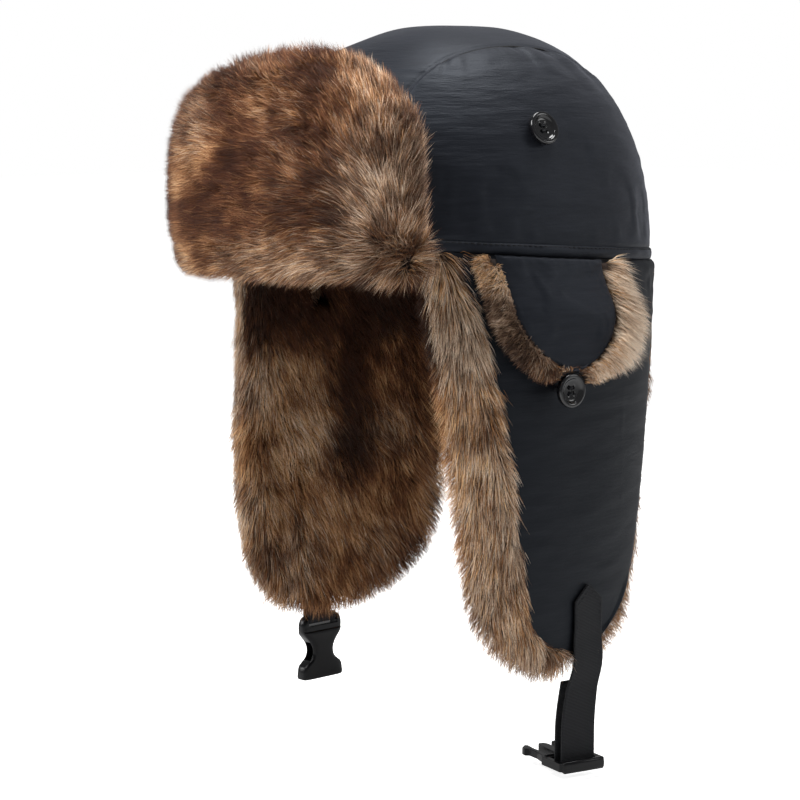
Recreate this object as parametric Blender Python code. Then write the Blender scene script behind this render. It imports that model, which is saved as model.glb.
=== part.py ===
"""Trapper hat: a padded nylon crown with a raised fur front flap, fur-lined ear flaps with
button-down ear covers, a neck flap, and a chin strap with a side-release buckle.

Metres, +Z up. The hat faces -Y and the wearer's left is +X. The origin is the centre of the
head opening, in the plane of the crown's bottom seam.
"""

import math

import bmesh
import bpy
from mathutils import Matrix, Vector

MM = 0.001
GAP = 0.4 * MM  # air between neighbouring pieces

# Crown: outer size, and how square it is seen from above and in profile.
CROWN_HALF_WIDTH = 96 * MM
CROWN_HALF_LENGTH = 115 * MM
CROWN_HEIGHT = 115 * MM
CROWN_PLAN_POWER = 2.2
CROWN_PROFILE_POWER = 2.4
CENTRE_PANEL_HALF_WIDTH = 51 * MM
SHELL_THICKNESS = 1.0 * MM
CROWN_PADDING_THICKNESS = 4.6 * MM
LINING_THICKNESS = 0.8 * MM
BAND_HEIGHT = 8 * MM
RIM_DROP = 0.075  # the bottom seam falls by this much per unit towards the back
SWEATBAND_HEIGHT = 30 * MM
SWEATBAND_CLEARANCE = 1.4 * MM

# Front flap: a stiffer, squarer curve than the crown's, standing a little off it.
FRONT_HALF_WIDTH = 97 * MM
FRONT_HALF_LENGTH = 117.6 * MM
FRONT_PLAN_POWER = 3.0
FRONT_FLAP_HEIGHT = 92 * MM
FRONT_FLAP_HALF_ANGLE = 39
FRONT_FLAP_CORNER = 42 * MM
FRONT_FUR_DEPTH = 15 * MM
FRONT_FUR_BORDER = 8 * MM
FRONT_FOLD_AXIS = (0, -122 * MM, -2 * MM)

# Ear flaps: the same curve as the crown's edge. Angles run from the ear towards the back.
EAR_FLAP_LENGTH = 198 * MM
EAR_FLAP_TOP_ANGLES = (-37, 46)
EAR_FLAP_BOW = 2.2  # the back edge stays wide and then curves in
EAR_FLAP_TIP_ANGLES = (-19, 23)
EAR_FLAP_CORNER = 40 * MM
FLAP_STAND_OFF = 2 * MM
FLAP_PADDING_THICKNESS = 3 * MM
EAR_FUR_DEPTH = 17 * MM
EAR_FUR_BORDER = 9 * MM
EAR_FUR_TOP_ANGLES = (-48, 46.2)
EAR_FUR_TIP_ANGLES = (-33, 29)
EAR_FOLD_X = 102 * MM
EAR_HOLE_CENTRE = (-16 * MM, -27 * MM)
EAR_HOLE_RADIUS = 19 * MM

# Ear covers: tongues over the ear holes, standing off the flap most at their back edge.
COVER_CENTRE_ANGLE = -9.6
COVER_TOP_OFFSET = 4.5 * MM
COVER_BULGE = 9 * MM
COVER_BULGE_DEPTH = 30 * MM
COVER_BACK_LIFT = 0.5
COVER_HALF_WIDTH = 31 * MM
COVER_LENGTH = 54 * MM
COVER_FUR_BORDERS = (14 * MM, 20 * MM)
COVER_FUR_START = 4 * MM
COVER_NOTCH_RADIUS = 10.5 * MM
COVER_HINGE_X = 103 * MM

# Neck flap, between the two ear flaps.
NECK_FLAP_LENGTH = 76 * MM
NECK_TOP_HALF_ANGLE = 41
NECK_TIP_HALF_ANGLE = 31
NECK_FOLD_Y = 121 * MM
NECK_FOLD_Z = -8 * MM

# Buttons.
BUTTON_RADIUS = 8.5 * MM
BUTTON_HEIGHT = 3.4 * MM
BUTTON_DISH = 1.3 * MM
BUTTON_HOLE_RADIUS = 0.9 * MM
BUTTON_HOLE_SPREAD = 1.9 * MM
SHANK_RADIUS = 1.7 * MM
SHANK_HEIGHT = 1.4 * MM
CROWN_BUTTON_ANGLE = -11
CROWN_BUTTON_HEIGHT = 61.5 * MM
EAR_BUTTON_DEPTH = 64 * MM
EAR_BUTTON_STAND = 9.5 * MM

# Chin strap.
STRAP_WIDTH = 20 * MM
STRAP_THICKNESS = 1.4 * MM
STRAP_YAW = -13
STRAP_TOP_Z = -202 * MM
STRAP_POINT = 8 * MM
LEFT_ANCHOR_TOP = 165 * MM
RIGHT_ANCHOR_TOP = 174 * MM
LEFT_BAR_Z = -256 * MM
RIGHT_BAR_Z = -213 * MM
LEFT_LOOP_RADIUS = 2.95 * MM
RIGHT_LOOP_RADIUS = 2.35 * MM
LEFT_TAIL = 42 * MM
RIGHT_TAIL = 3 * MM

COLOURS = {
    "nylon": ((0.016, 0.017, 0.022), 0.55, 0.0),
    "lining": ((0.02, 0.02, 0.024), 0.8, 0.0),
    "wadding": ((0.75, 0.75, 0.72), 0.95, 0.0),
    "fur": ((0.20, 0.12, 0.07), 0.9, 0.0),
    "plastic": ((0.012, 0.012, 0.013), 0.3, 0.0),
    "webbing": ((0.018, 0.018, 0.02), 0.7, 0.0),
    "thread": ((0.02, 0.02, 0.02), 0.8, 0.0),
}


def clear_scene():
    for obj in list(bpy.data.objects):
        bpy.data.objects.remove(obj, do_unlink=True)


def material(name):
    """One Principled material per finish, made the first time it is asked for."""
    found = bpy.data.materials.get(name)
    if found:
        return found
    colour, roughness, metallic = COLOURS[name]
    made = bpy.data.materials.new(name)
    made.use_nodes = True
    shader = made.node_tree.nodes["Principled BSDF"]
    shader.inputs["Base Color"].default_value = (*colour, 1)
    shader.inputs["Roughness"].default_value = roughness
    shader.inputs["Metallic"].default_value = metallic
    return made


def add_object(name, bm, finish):
    """Turns a bmesh into a named object with its faces pointing outwards."""
    bm.normal_update()
    bmesh.ops.recalc_face_normals(bm, faces=bm.faces)
    mesh = bpy.data.meshes.new(name)
    bm.to_mesh(mesh)
    bm.free()
    mesh.materials.append(material(finish))
    mesh.shade_smooth()
    mesh.set_sharp_from_angle(angle=math.radians(40))
    obj = bpy.data.objects.new(name, mesh)
    bpy.context.scene.collection.objects.link(obj)
    return obj


def add_joint_empty(name, location):
    """An empty on a joint's axis, which the moving pieces are parented to."""
    empty = bpy.data.objects.new(name, None)
    empty.location = location
    bpy.context.scene.collection.objects.link(empty)
    bpy.context.view_layer.update()
    return empty


def hang(parent, *children):
    """Parents pieces without moving them."""
    for child in children:
        child.parent = parent
        child.matrix_parent_inverse = parent.matrix_world.inverted()


def cut(obj, *cutters, operation="DIFFERENCE"):
    for cutter in cutters:
        cutter.hide_render = True
        cutter.display_type = "WIRE"
        boolean = obj.modifiers.new("cut", "BOOLEAN")
        boolean.operation = operation
        boolean.solver = "EXACT"
        boolean.object = cutter


def box(name, low, high, finish="plastic"):
    bm = bmesh.new()
    bmesh.ops.create_cube(bm, size=1)
    low, high = Vector(low), Vector(high)
    size, middle = high - low, (low + high) / 2
    bmesh.ops.scale(bm, vec=size, verts=bm.verts)
    bmesh.ops.translate(bm, vec=middle, verts=bm.verts)
    return add_object(name, bm, finish)


def cut_boxes(obj, frame, boxes):
    """Cuts named boxes, given as low and high corners in millimetres of the frame."""
    for label, corners in boxes.items():
        low, high = (Vector(corner) * MM for corner in corners)
        tool = box(f"{obj.name}_{label}", low, high)
        tool.matrix_world = frame
        cut(obj, tool)


def blend(start, end, amount):
    return start + (end - start) * amount


def smooth_step(amount):
    amount = min(1.0, max(0.0, amount))
    return amount * amount * (3 - 2 * amount)


class Plan:
    """A superellipse seen from above, read by its polar angle from +X towards +Y."""

    def __init__(self, half_width, half_length, power):
        self.half_width = half_width
        self.half_length = half_length
        self.power = power
        self.mean_radius = (half_width + half_length) / 2

    def level(self, x, y):
        terms = abs(x / self.half_width) ** self.power + abs(y / self.half_length) ** self.power
        return terms ** (1 / self.power)

    def point(self, angle):
        across, along = math.cos(angle), math.sin(angle)
        return Vector((across, along, 0)) / self.level(across, along)

    def normal(self, angle):
        p = self.point(angle)
        power = self.power - 1
        slope_x = math.copysign(abs(p.x / self.half_width) ** power / self.half_width, p.x)
        slope_y = math.copysign(abs(p.y / self.half_length) ** power / self.half_length, p.y)
        return Vector((slope_x, slope_y, 0)).normalized()


CROWN_PLAN = Plan(CROWN_HALF_WIDTH, CROWN_HALF_LENGTH, CROWN_PLAN_POWER)
FRONT_PLAN = Plan(FRONT_HALF_WIDTH, FRONT_HALF_LENGTH, FRONT_PLAN_POWER)


def crown_point(angle, rise, offset=0.0):
    """A point on the crown. Rise runs from 0 at the bottom edge to 90 degrees at the top."""
    m = CROWN_PROFILE_POWER
    out, up = math.cos(rise), math.sin(rise)
    reach = (out**m + up**m) ** (-1 / m)
    level, height = out * reach, up * reach
    on_plan = CROWN_PLAN.point(angle)
    base = Vector((on_plan.x * level, on_plan.y * level, CROWN_HEIGHT * height))
    flat_normal = CROWN_PLAN.normal(angle)
    flat_reach = flat_normal.dot(on_plan)
    normal = flat_normal * (level ** (m - 1) / flat_reach)
    normal.z = height ** (m - 1) / CROWN_HEIGHT
    normal.normalize()
    return base + normal * offset, normal


def follow_rim(point):
    """Moves a point low on the crown down with the rim, which is lower at the back."""
    share = max(0.0, 1 - point.z / CROWN_HEIGHT)
    return Vector((point.x, point.y, point.z - RIM_DROP * point.y * share))


def crown_rise_at(z):
    """The rise at which the crown's outer surface reaches a height."""
    low, high = 0.0, math.pi / 2
    for _ in range(40):
        middle = (low + high) / 2
        if crown_point(0, middle)[0].z < z:
            low = middle
        else:
            high = middle
    return high


def crown_layer(name, inner, outer, bottom, finish, top=None, around=36, rows=8):
    """A layer of the crown between two offsets: a dome, or a band when it has a top height."""
    first = crown_rise_at(bottom)
    last = crown_rise_at(top) if top else math.pi / 2
    bm = bmesh.new()
    rings = {inner: [], outer: []}
    ring_count = rows if top is None else rows + 1
    for offset, stack in rings.items():
        for row in range(ring_count):
            rise = blend(first, last, row / rows)
            ring = []
            for k in range(around):
                point, _ = crown_point(2 * math.pi * k / around, rise, offset)
                if row == 0:
                    point.z = bottom
                if top and row == rows:
                    point.z = top
                ring.append(bm.verts.new(follow_rim(point)))
            stack.append(ring)
    for stack in rings.values():
        for lower, upper in zip(stack, stack[1:]):
            bridge(bm, lower, upper)
    bridge(bm, rings[inner][0], rings[outer][0])
    if top:
        bridge(bm, rings[inner][-1], rings[outer][-1])
    else:
        for offset, stack in rings.items():
            apex = bm.verts.new((0, 0, CROWN_HEIGHT + offset))
            for a, b in neighbours(stack[-1]):
                bm.faces.new((a, b, apex))
    return add_object(name, bm, finish)


def neighbours(ring):
    return zip(ring, ring[1:] + ring[:1])


def bridge(bm, first, second):
    for (a, b), (c, d) in zip(neighbours(first), neighbours(second)):
        bm.faces.new((a, b, d, c))


def tongue_rows(length, top_edges, tip_edges, corner, taper_power=1.0, straight=6, round_steps=5):
    """Rows of a tapering tongue with a rounded end, each (depth, low side, high side)."""
    straight_end = length - corner
    depths = [straight_end * k / straight for k in range(straight)]
    for k in range(round_steps + 1):
        swing = 0.5 * math.pi * k / round_steps
        depths.append(straight_end + corner * math.sin(swing))
    rows = []
    for depth in depths:
        taper = (depth / length) ** taper_power
        into = max(0.0, (depth - straight_end) / corner)
        inset = corner * (1 - math.sqrt(max(0.0, 1 - into * into)))
        low = blend(top_edges[0], tip_edges[0], depth / length) + inset
        high = blend(top_edges[1], tip_edges[1], taper) - inset
        rows.append((depth, low, high))
    return rows


def closed_sheet(name, rows, place, inner, outer, finish, columns=10, rim=1.0):
    """A closed sheet over a tongue of rows. Its thickness falls to rim times itself at the edges."""
    bm = bmesh.new()
    grids = []
    last = len(rows) - 1
    for is_outer in (False, True):
        grid = []
        for r, (depth, low, high) in enumerate(rows):
            line = []
            for c in range(columns + 1):
                across = c / columns
                edge = max(abs(2 * across - 1) ** 4, (r / last) ** 8)
                full = blend(1.0, rim, edge)
                near, far = inner(depth), outer(depth)
                middle = (near + far) / 2
                offset = middle + ((far if is_outer else near) - middle) * full
                line.append(bm.verts.new(place(blend(low, high, across), depth, offset)))
            grid.append(line)
        grids.append(grid)
    for grid in grids:
        for upper, lower in zip(grid, grid[1:]):
            for c in range(columns):
                bm.faces.new((upper[c], upper[c + 1], lower[c + 1], lower[c]))
    inner_edge, outer_edge = (edge_loop(grid) for grid in grids)
    bridge(bm, inner_edge, outer_edge)
    return add_object(name, bm, finish)


def edge_loop(grid):
    right = [line[-1] for line in grid[1:-1]]
    left = [line[0] for line in reversed(grid[1:-1])]
    return grid[0] + right + list(reversed(grid[-1])) + left


def raised_wall(plan, centre, start):
    """Places a point on a wall that rises over a plan curve: arc length, height and offset."""

    def place(arc, height, offset):
        angle = math.radians(centre) + arc / plan.mean_radius
        point = plan.point(angle) + plan.normal(angle) * offset
        return Vector((point.x, point.y, start + height))

    return place


def hanging_wall(centre, length, side=1):
    """Places a point on a wall that hangs from the crown's rim: arc length, depth and offset."""

    def place(arc, depth, offset):
        angle = math.radians(centre) + arc / CROWN_PLAN.mean_radius
        point = CROWN_PLAN.point(angle) + CROWN_PLAN.normal(angle) * offset
        rim = -RIM_DROP * point.y * max(0.0, 1 - depth / length)
        return Vector((point.x * side, point.y, rim - GAP - depth))

    return place


def arcs(plan, angles):
    return tuple(math.radians(a) * plan.mean_radius for a in angles)


def always(offset):
    return lambda depth: offset


def widened(edges, border):
    return edges[0] - border, edges[1] + border


def cylinder_cutter(name, start, direction, radius, length, segments):
    bm = bmesh.new()
    bmesh.ops.create_cone(
        bm, cap_ends=True, segments=segments, radius1=radius, radius2=radius, depth=length
    )
    turn = Vector(direction).to_track_quat("Z", "Y").to_matrix().to_4x4()
    shift = Matrix.Translation(Vector(start) + Vector(direction).normalized() * length / 2)
    bm.transform(shift @ turn)
    return add_object(name, bm, "plastic")


def build_crown():
    shell_in = -SHELL_THICKNESS
    padding_out = shell_in - GAP
    padding_in = padding_out - CROWN_PADDING_THICKNESS
    lining_out = padding_in - GAP
    lining_in = lining_out - LINING_THICKNESS
    sweat_out = lining_in - SWEATBAND_CLEARANCE
    reach = 2 * CROWN_HALF_LENGTH
    seam = CENTRE_PANEL_HALF_WIDTH
    spans = {
        "crown_centre_panel": (-seam + GAP / 2, seam - GAP / 2),
        "crown_side_panel_left": (seam + GAP / 2, reach),
        "crown_side_panel_right": (-reach, -seam - GAP / 2),
    }
    for name, (low, high) in spans.items():
        panel = crown_layer(name, shell_in, 0.0, GAP, "nylon")
        slab = box(name + "_cutter", (low, -reach, -reach), (high, reach, reach))
        cut(panel, slab, operation="INTERSECT")
    crown_layer("crown_padding", padding_in, padding_out, 2 * GAP, "wadding")
    crown_layer("crown_lining", lining_in, lining_out, GAP, "lining")
    band_out = GAP + SHELL_THICKNESS
    crown_layer("crown_band", GAP, band_out, 0.0, "nylon", top=BAND_HEIGHT, rows=1)
    sweat_in = sweat_out - 2 * MM
    crown_layer("sweatband", sweat_in, sweat_out, GAP, "lining", top=SWEATBAND_HEIGHT, rows=2)


def build_front_flap():
    half = FRONT_FLAP_HALF_ANGLE
    edges = arcs(FRONT_PLAN, (-half, half))
    corner = FRONT_FLAP_CORNER
    place = raised_wall(FRONT_PLAN, -90, GAP)
    rows = tongue_rows(FRONT_FLAP_HEIGHT, edges, edges, corner)
    wadding_in = SHELL_THICKNESS + GAP
    wadding_out = wadding_in + FLAP_PADDING_THICKNESS
    fur_in = wadding_out + GAP
    shell = closed_sheet("front_flap_shell", rows, place, always(0), always(SHELL_THICKNESS), "nylon")
    wadding = closed_sheet(
        "front_flap_interlining", rows, place, always(wadding_in), always(wadding_out), "wadding"
    )
    border = FRONT_FUR_BORDER
    fur_edges = widened(edges, border)
    fur_rows = tongue_rows(
        FRONT_FLAP_HEIGHT + 2 * border, fur_edges, fur_edges, corner + border, straight=8
    )
    fur_place = raised_wall(FRONT_PLAN, -90, -border)
    fur = closed_sheet(
        "front_flap_fur",
        fur_rows,
        fur_place,
        always(fur_in),
        always(fur_in + FRONT_FUR_DEPTH),
        "fur",
        columns=16,
        rim=0.55,
    )
    hang(add_joint_empty("front_flap_axis", FRONT_FOLD_AXIS), shell, wadding, fur)


def flap_offsets():
    """Offsets of a hanging flap's layers from the crown's edge, from the outside in."""
    shell = (FLAP_STAND_OFF, FLAP_STAND_OFF + SHELL_THICKNESS)
    wadding = (shell[0] - GAP - FLAP_PADDING_THICKNESS, shell[0] - GAP)
    fur = (wadding[0] - GAP - EAR_FUR_DEPTH, wadding[0] - GAP)
    return shell, wadding, fur


def hanging_flap(label, place, shape, fur_shape):
    """The shell, wadding and fur of an ear flap or a neck flap."""
    shell, wadding, fur = flap_offsets()
    rows = tongue_rows(*shape)
    fur_rows = tongue_rows(*fur_shape)
    pieces = [
        closed_sheet(label.format("shell"), rows, place, always(shell[0]), always(shell[1]), "nylon"),
        closed_sheet(
            label.format("wadding"), rows, place, always(wadding[0]), always(wadding[1]), "wadding"
        ),
        closed_sheet(
            label.format("fur"), fur_rows, place, always(fur[0]), always(fur[1]), "fur", rim=0.55
        ),
    ]
    return pieces


def build_ear_flap(name, side):
    place = hanging_wall(0, EAR_FLAP_LENGTH, side)
    top = arcs(CROWN_PLAN, EAR_FLAP_TOP_ANGLES)
    tip = arcs(CROWN_PLAN, EAR_FLAP_TIP_ANGLES)
    border = EAR_FUR_BORDER
    shape = (EAR_FLAP_LENGTH, top, tip, EAR_FLAP_CORNER, EAR_FLAP_BOW)
    fur_shape = (
        EAR_FLAP_LENGTH + border,
        arcs(CROWN_PLAN, EAR_FUR_TOP_ANGLES),
        arcs(CROWN_PLAN, EAR_FUR_TIP_ANGLES),
        EAR_FLAP_CORNER + border,
        EAR_FLAP_BOW,
    )
    pieces = hanging_flap("ear_flap_{}_" + name, place, shape, fur_shape)
    hole_y, hole_z = EAR_HOLE_CENTRE
    start = (side * 0.6 * CROWN_HALF_WIDTH, hole_y, hole_z)
    for piece in pieces:
        cutter = cylinder_cutter(
            piece.name + "_hole", start, (side, 0, 0), EAR_HOLE_RADIUS, CROWN_HALF_WIDTH, 20
        )
        cut(piece, cutter)
    anchor_top = LEFT_ANCHOR_TOP if side > 0 else RIGHT_ANCHOR_TOP
    half = STRAP_WIDTH / 2
    rows = [
        (anchor_top, -MM, MM),
        (anchor_top + STRAP_POINT, -half, half),
        (-STRAP_TOP_Z - 4 * GAP, -half, half),
    ]
    low = FLAP_STAND_OFF + SHELL_THICKNESS + GAP
    anchor = closed_sheet(
        "strap_anchor_" + name,
        rows,
        place,
        always(low),
        always(low + STRAP_THICKNESS),
        "webbing",
        columns=4,
    )
    surface, normal = ear_button_seat(place, side)
    button = build_button("ear_flap_button_" + name, surface, normal, EAR_BUTTON_STAND)
    pivot = add_joint_empty("ear_flap_axis_" + name, (side * EAR_FOLD_X, 0, 0))
    hang(pivot, *pieces, anchor, *button)
    return pivot


def ear_button_seat(place, side):
    """Where the ear flap's button is sewn on, under the tip of the ear cover."""
    arc = math.radians(COVER_CENTRE_ANGLE) * CROWN_PLAN.mean_radius
    surface = place(arc, EAR_BUTTON_DEPTH, FLAP_STAND_OFF + SHELL_THICKNESS)
    normal = CROWN_PLAN.normal(math.radians(COVER_CENTRE_ANGLE))
    return surface, Vector((normal.x * side, normal.y, 0))


def build_neck_flap():
    place = hanging_wall(90, EAR_FLAP_LENGTH)
    top = arcs(CROWN_PLAN, (-NECK_TOP_HALF_ANGLE, NECK_TOP_HALF_ANGLE))
    tip = arcs(CROWN_PLAN, (-NECK_TIP_HALF_ANGLE, NECK_TIP_HALF_ANGLE))
    border = 5 * MM
    corner = 22 * MM
    shape = (NECK_FLAP_LENGTH, top, tip, corner)
    fur_shape = (
        NECK_FLAP_LENGTH + border,
        widened(top, GAP),
        widened(tip, border),
        corner + border,
    )
    pieces = hanging_flap("neck_flap_{}", place, shape, fur_shape)
    hang(add_joint_empty("neck_flap_axis", (0, NECK_FOLD_Y, NECK_FOLD_Z)), *pieces)


def build_ear_cover(name, side, flap_pivot):
    def bulge(depth):
        return COVER_BULGE * smooth_step(depth / COVER_BULGE_DEPTH)

    hang_place = hanging_wall(COVER_CENTRE_ANGLE, EAR_FLAP_LENGTH, side)
    half = COVER_HALF_WIDTH
    front, back = COVER_FUR_BORDERS

    def place(arc, depth, offset):
        lift = 1 + COVER_BACK_LIFT * arc / (half + back)
        return hang_place(arc, depth, COVER_TOP_OFFSET + bulge(depth) * lift + offset)

    def fur_inside(depth):
        return -0.9 * MM - 0.5 * bulge(depth)

    tip = 0.86 * half
    rows = tongue_rows(COVER_LENGTH, (-half, half), (-tip, tip), 24 * MM)
    shell = closed_sheet(
        "ear_cover_shell_" + name, rows, place, always(0), always(SHELL_THICKNESS), "nylon"
    )
    wide = (-half - front, half + back)
    fur_tip = (wide[0] * 0.8, wide[1] * 0.8)
    fur_rows = tongue_rows(COVER_LENGTH + 9 * MM, wide, fur_tip, 34 * MM)
    fur_rows = [row for row in fur_rows if row[0] > COVER_FUR_START]
    fur_rows.insert(0, (COVER_FUR_START, *wide))
    fur = closed_sheet(
        "ear_cover_fur_" + name, fur_rows, place, fur_inside, always(-GAP), "fur", rim=0.75
    )
    seat, normal = ear_button_seat(hanging_wall(0, EAR_FLAP_LENGTH, side), side)
    notch = cylinder_cutter(
        "ear_cover_notch_" + name, seat, normal, COVER_NOTCH_RADIUS, CROWN_HALF_WIDTH, 20
    )
    cut(fur, notch)
    pivot = add_joint_empty("ear_cover_axis_" + name, (side * COVER_HINGE_X, 0, 0))
    hang(pivot, shell, fur)
    hang(flap_pivot, pivot)


def build_button(name, surface, normal, stand):
    """A dished four-hole button on its thread shank, standing off the surface it is sewn to."""
    turn = normal.to_track_quat("Z", "Y").to_matrix().to_4x4()
    back = Matrix.Translation(surface + normal * stand) @ turn
    radius, height = BUTTON_RADIUS, BUTTON_HEIGHT
    profile = [
        (0.86 * radius, 0),
        (radius, 0.35 * height),
        (radius, 0.65 * height),
        (0.92 * radius, height),
        (0.76 * radius, height),
        (0.62 * radius, height - BUTTON_DISH),
    ]
    bm = bmesh.new()
    rings = []
    segments = 24
    for r, z in profile:
        turns = (2 * math.pi * k / segments for k in range(segments))
        rings.append([bm.verts.new((r * math.cos(t), r * math.sin(t), z)) for t in turns])
    for lower, upper in zip(rings, rings[1:]):
        bridge(bm, lower, upper)
    bm.faces.new(rings[0])
    bm.faces.new(rings[-1])
    bm.transform(back)
    disc = add_object(name, bm, "plastic")
    for k in range(4):
        swing = math.pi / 4 + k * math.pi / 2
        spread = BUTTON_HOLE_SPREAD
        spot = Vector((spread * math.cos(swing), spread * math.sin(swing), -height))
        hole = cylinder_cutter(
            f"{name}_hole_{k}", back @ spot, normal, BUTTON_HOLE_RADIUS, 3 * height, 8
        )
        cut(disc, hole)
    shank_length = stand - 2 * GAP
    shank = cylinder_cutter(
        name + "_thread", surface + normal * GAP, normal, SHANK_RADIUS, shank_length, 10
    )
    shank.data.materials[0] = material("thread")
    return disc, shank


def build_crown_button(name, side):
    rise = crown_rise_at(CROWN_BUTTON_HEIGHT)
    surface, normal = crown_point(math.radians(CROWN_BUTTON_ANGLE), rise)
    surface = follow_rim(surface)
    surface.x *= side
    normal.x *= side
    build_button("crown_button_" + name, surface, normal, SHANK_HEIGHT + 2 * GAP)


def strap_frame(side, yaw, z, outward=0.0):
    """Local axes at the flap's tip: x away from the head, y along the strap's width, z up."""
    x = CROWN_HALF_WIDTH + FLAP_STAND_OFF + SHELL_THICKNESS + GAP + STRAP_THICKNESS / 2
    turn = Matrix.Rotation(math.radians(yaw + (0 if side > 0 else 180)), 4, "Z")
    base = Matrix.Translation(Vector((side * x, 0, z))) @ turn
    return base @ Matrix.Translation(Vector((outward, 0, 0)))


def extrude_outline(name, outline, low, high, frame, axes, finish):
    """Extrudes a closed outline. Axes maps (first, second, extrusion) to the frame's x, y, z."""
    bm = bmesh.new()
    ends = []
    for level in (low, high):
        ring = []
        for first, second in outline:
            point = Vector((0, 0, 0))
            for axis, value in zip(axes, (first, second, level)):
                point[axis] = value
            ring.append(bm.verts.new(frame @ point))
        ends.append(ring)
    bridge(bm, *ends)
    for ring in ends:
        bm.faces.new(ring)
    return add_object(name, bm, finish)


def looped_strap(name, frame, drop, radius, tail):
    """Webbing that comes down, turns round a bar and doubles back up behind itself."""
    half = STRAP_THICKNESS / 2
    steps = 8
    outside, inside = [(half, 0)], [(-half, 0)]
    for k in range(steps + 1):
        swing = math.pi * k / steps
        for side_line, r in ((outside, radius + half), (inside, radius - half)):
            side_line.append((r * math.cos(swing) - radius, -drop - r * math.sin(swing)))
    lean = 0.8 * MM
    outside.append((-2 * radius - half + lean, tail - drop))
    inside.append((-2 * radius + half + lean, tail - drop))
    outline = outside + inside[::-1]
    width = STRAP_WIDTH / 2
    return extrude_outline(name, outline, -width, width, frame, (0, 2, 1), "webbing")


def build_male_buckle(frame):
    """The plug half, prongs towards the head. Local x points outwards, y is the strap's width."""
    thick = 2.2 * MM
    outline = [
        (9.0, -11.5), (9.0, 11.5), (7.0, 13.5), (-9.5, 13.5), (-11.0, 12.0), (-11.0, 3.2),
        (-29.0, 2.6), (-31.0, 1.2), (-31.0, -1.2), (-29.0, -2.6), (-11.0, -3.2),
        (-11.0, -12.0), (-9.5, -13.5), (7.0, -13.5),
    ]
    outline = [(x * MM, y * MM) for x, y in outline]
    body = extrude_outline(
        "buckle_plug_body", outline, -thick, thick, frame, (0, 1, 2), "plastic"
    )
    cuts = {
        "slot_rear": ((1.6, -10.6, -9), (6.0, 10.6, 9)),
        "slot_front": ((-6.4, -10.6, -9), (-1.6, 10.6, 9)),
        "bar_top": ((-3, -10.3, 1.1), (3, 10.3, 9)),
        "bar_bottom": ((-3, -10.3, -9), (3, 10.3, -1.1)),
    }
    cut_boxes(body, frame, cuts)
    arms = []
    for label, way in (("front", -1), ("rear", 1)):
        shape = [
            (-11.4, 8.0), (-11.4, 11.8), (-18.0, 10.6), (-25.0, 10.8), (-26.5, 12.8),
            (-29.5, 12.4), (-33.0, 8.6), (-31.8, 7.2), (-25.0, 7.8), (-18.0, 7.6),
        ]
        arm_outline = [(x * MM, way * y * MM) for x, y in shape]
        arm = extrude_outline(
            "buckle_arm_" + label,
            arm_outline,
            -thick + 0.3 * MM,
            thick - 0.3 * MM,
            frame,
            (0, 1, 2),
            "plastic",
        )
        root = add_joint_empty(f"buckle_arm_axis_{label}", frame @ Vector((-11.4 * MM, way * 9.9 * MM, 0)))
        hang(root, arm)
        arms.append(root)
    pivot = add_joint_empty("buckle_plug_axis", frame.translation)
    hang(pivot, body, *arms)
    return pivot


def build_socket(frame):
    """The socket half, mouth down. Local x is the thickness, y the width, z up from the bar."""
    thick = 4.0 * MM
    half_outline = [
        (11.5, 1.0), (13.6, -1.0), (14.2, -5.0), (13.2, -8.6), (10.2, -12.0), (8.0, -15.0),
        (7.2, -18.0), (7.6, -21.0), (9.6, -24.0), (13.6, -26.6), (14.6, -34.0),
    ]
    right = [(y * MM, z * MM) for y, z in half_outline]
    left = [(-y, z) for y, z in reversed(right)]
    body = extrude_outline("buckle_socket", right + left, -thick, thick, frame, (1, 2, 0), "plastic")
    cuts = {
        "bar_slot": ((-9, -10.6, -5.6), (9, 10.6, -1)),
        "bar_front": ((1, -10.3, -3), (8, 10.3, 9)),
        "bar_back": ((-8, -10.3, -3), (-1, 10.3, 9)),
        "mouth": ((-2.5, -9.4, -40), (2.5, 9.4, -9)),
    }
    cut_boxes(body, frame, cuts)
    pivot = add_joint_empty("buckle_socket_axis", frame.translation)
    hang(pivot, body)
    return pivot


def build_chin_strap(left_flap, right_flap):
    left = strap_frame(1, STRAP_YAW, STRAP_TOP_Z)
    strap = looped_strap(
        "strap_left", left, STRAP_TOP_Z - LEFT_BAR_Z, LEFT_LOOP_RADIUS, LEFT_TAIL
    )
    plug = build_male_buckle(strap_frame(1, STRAP_YAW, LEFT_BAR_Z, -LEFT_LOOP_RADIUS))
    left_pivot = add_joint_empty("strap_left_axis", left.translation)
    hang(left_pivot, strap, plug)
    hang(left_flap, left_pivot)

    right = strap_frame(-1, 0, STRAP_TOP_Z)
    tab = looped_strap(
        "strap_right", right, STRAP_TOP_Z - RIGHT_BAR_Z, RIGHT_LOOP_RADIUS, RIGHT_TAIL
    )
    socket = build_socket(strap_frame(-1, 0, RIGHT_BAR_Z, -RIGHT_LOOP_RADIUS))
    right_pivot = add_joint_empty("strap_right_axis", right.translation)
    hang(right_pivot, tab, socket)
    hang(right_flap, right_pivot)


def build_hat():
    clear_scene()
    build_crown()
    build_front_flap()
    build_neck_flap()
    flaps = {}
    for name, side in (("left", 1), ("right", -1)):
        build_crown_button(name, side)
        flaps[name] = build_ear_flap(name, side)
        build_ear_cover(name, side, flaps[name])
    build_chin_strap(flaps["left"], flaps["right"])


build_hat()
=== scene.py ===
"""Looks of the trapper hat: crinkled nylon panels, long mottled fur, buttons, webbing and buckles.

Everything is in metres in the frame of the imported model: the hat faces -Y and +X is the wearer's left.
"""

import math

import bpy
import numpy as np
from mathutils import Matrix, Vector


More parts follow.
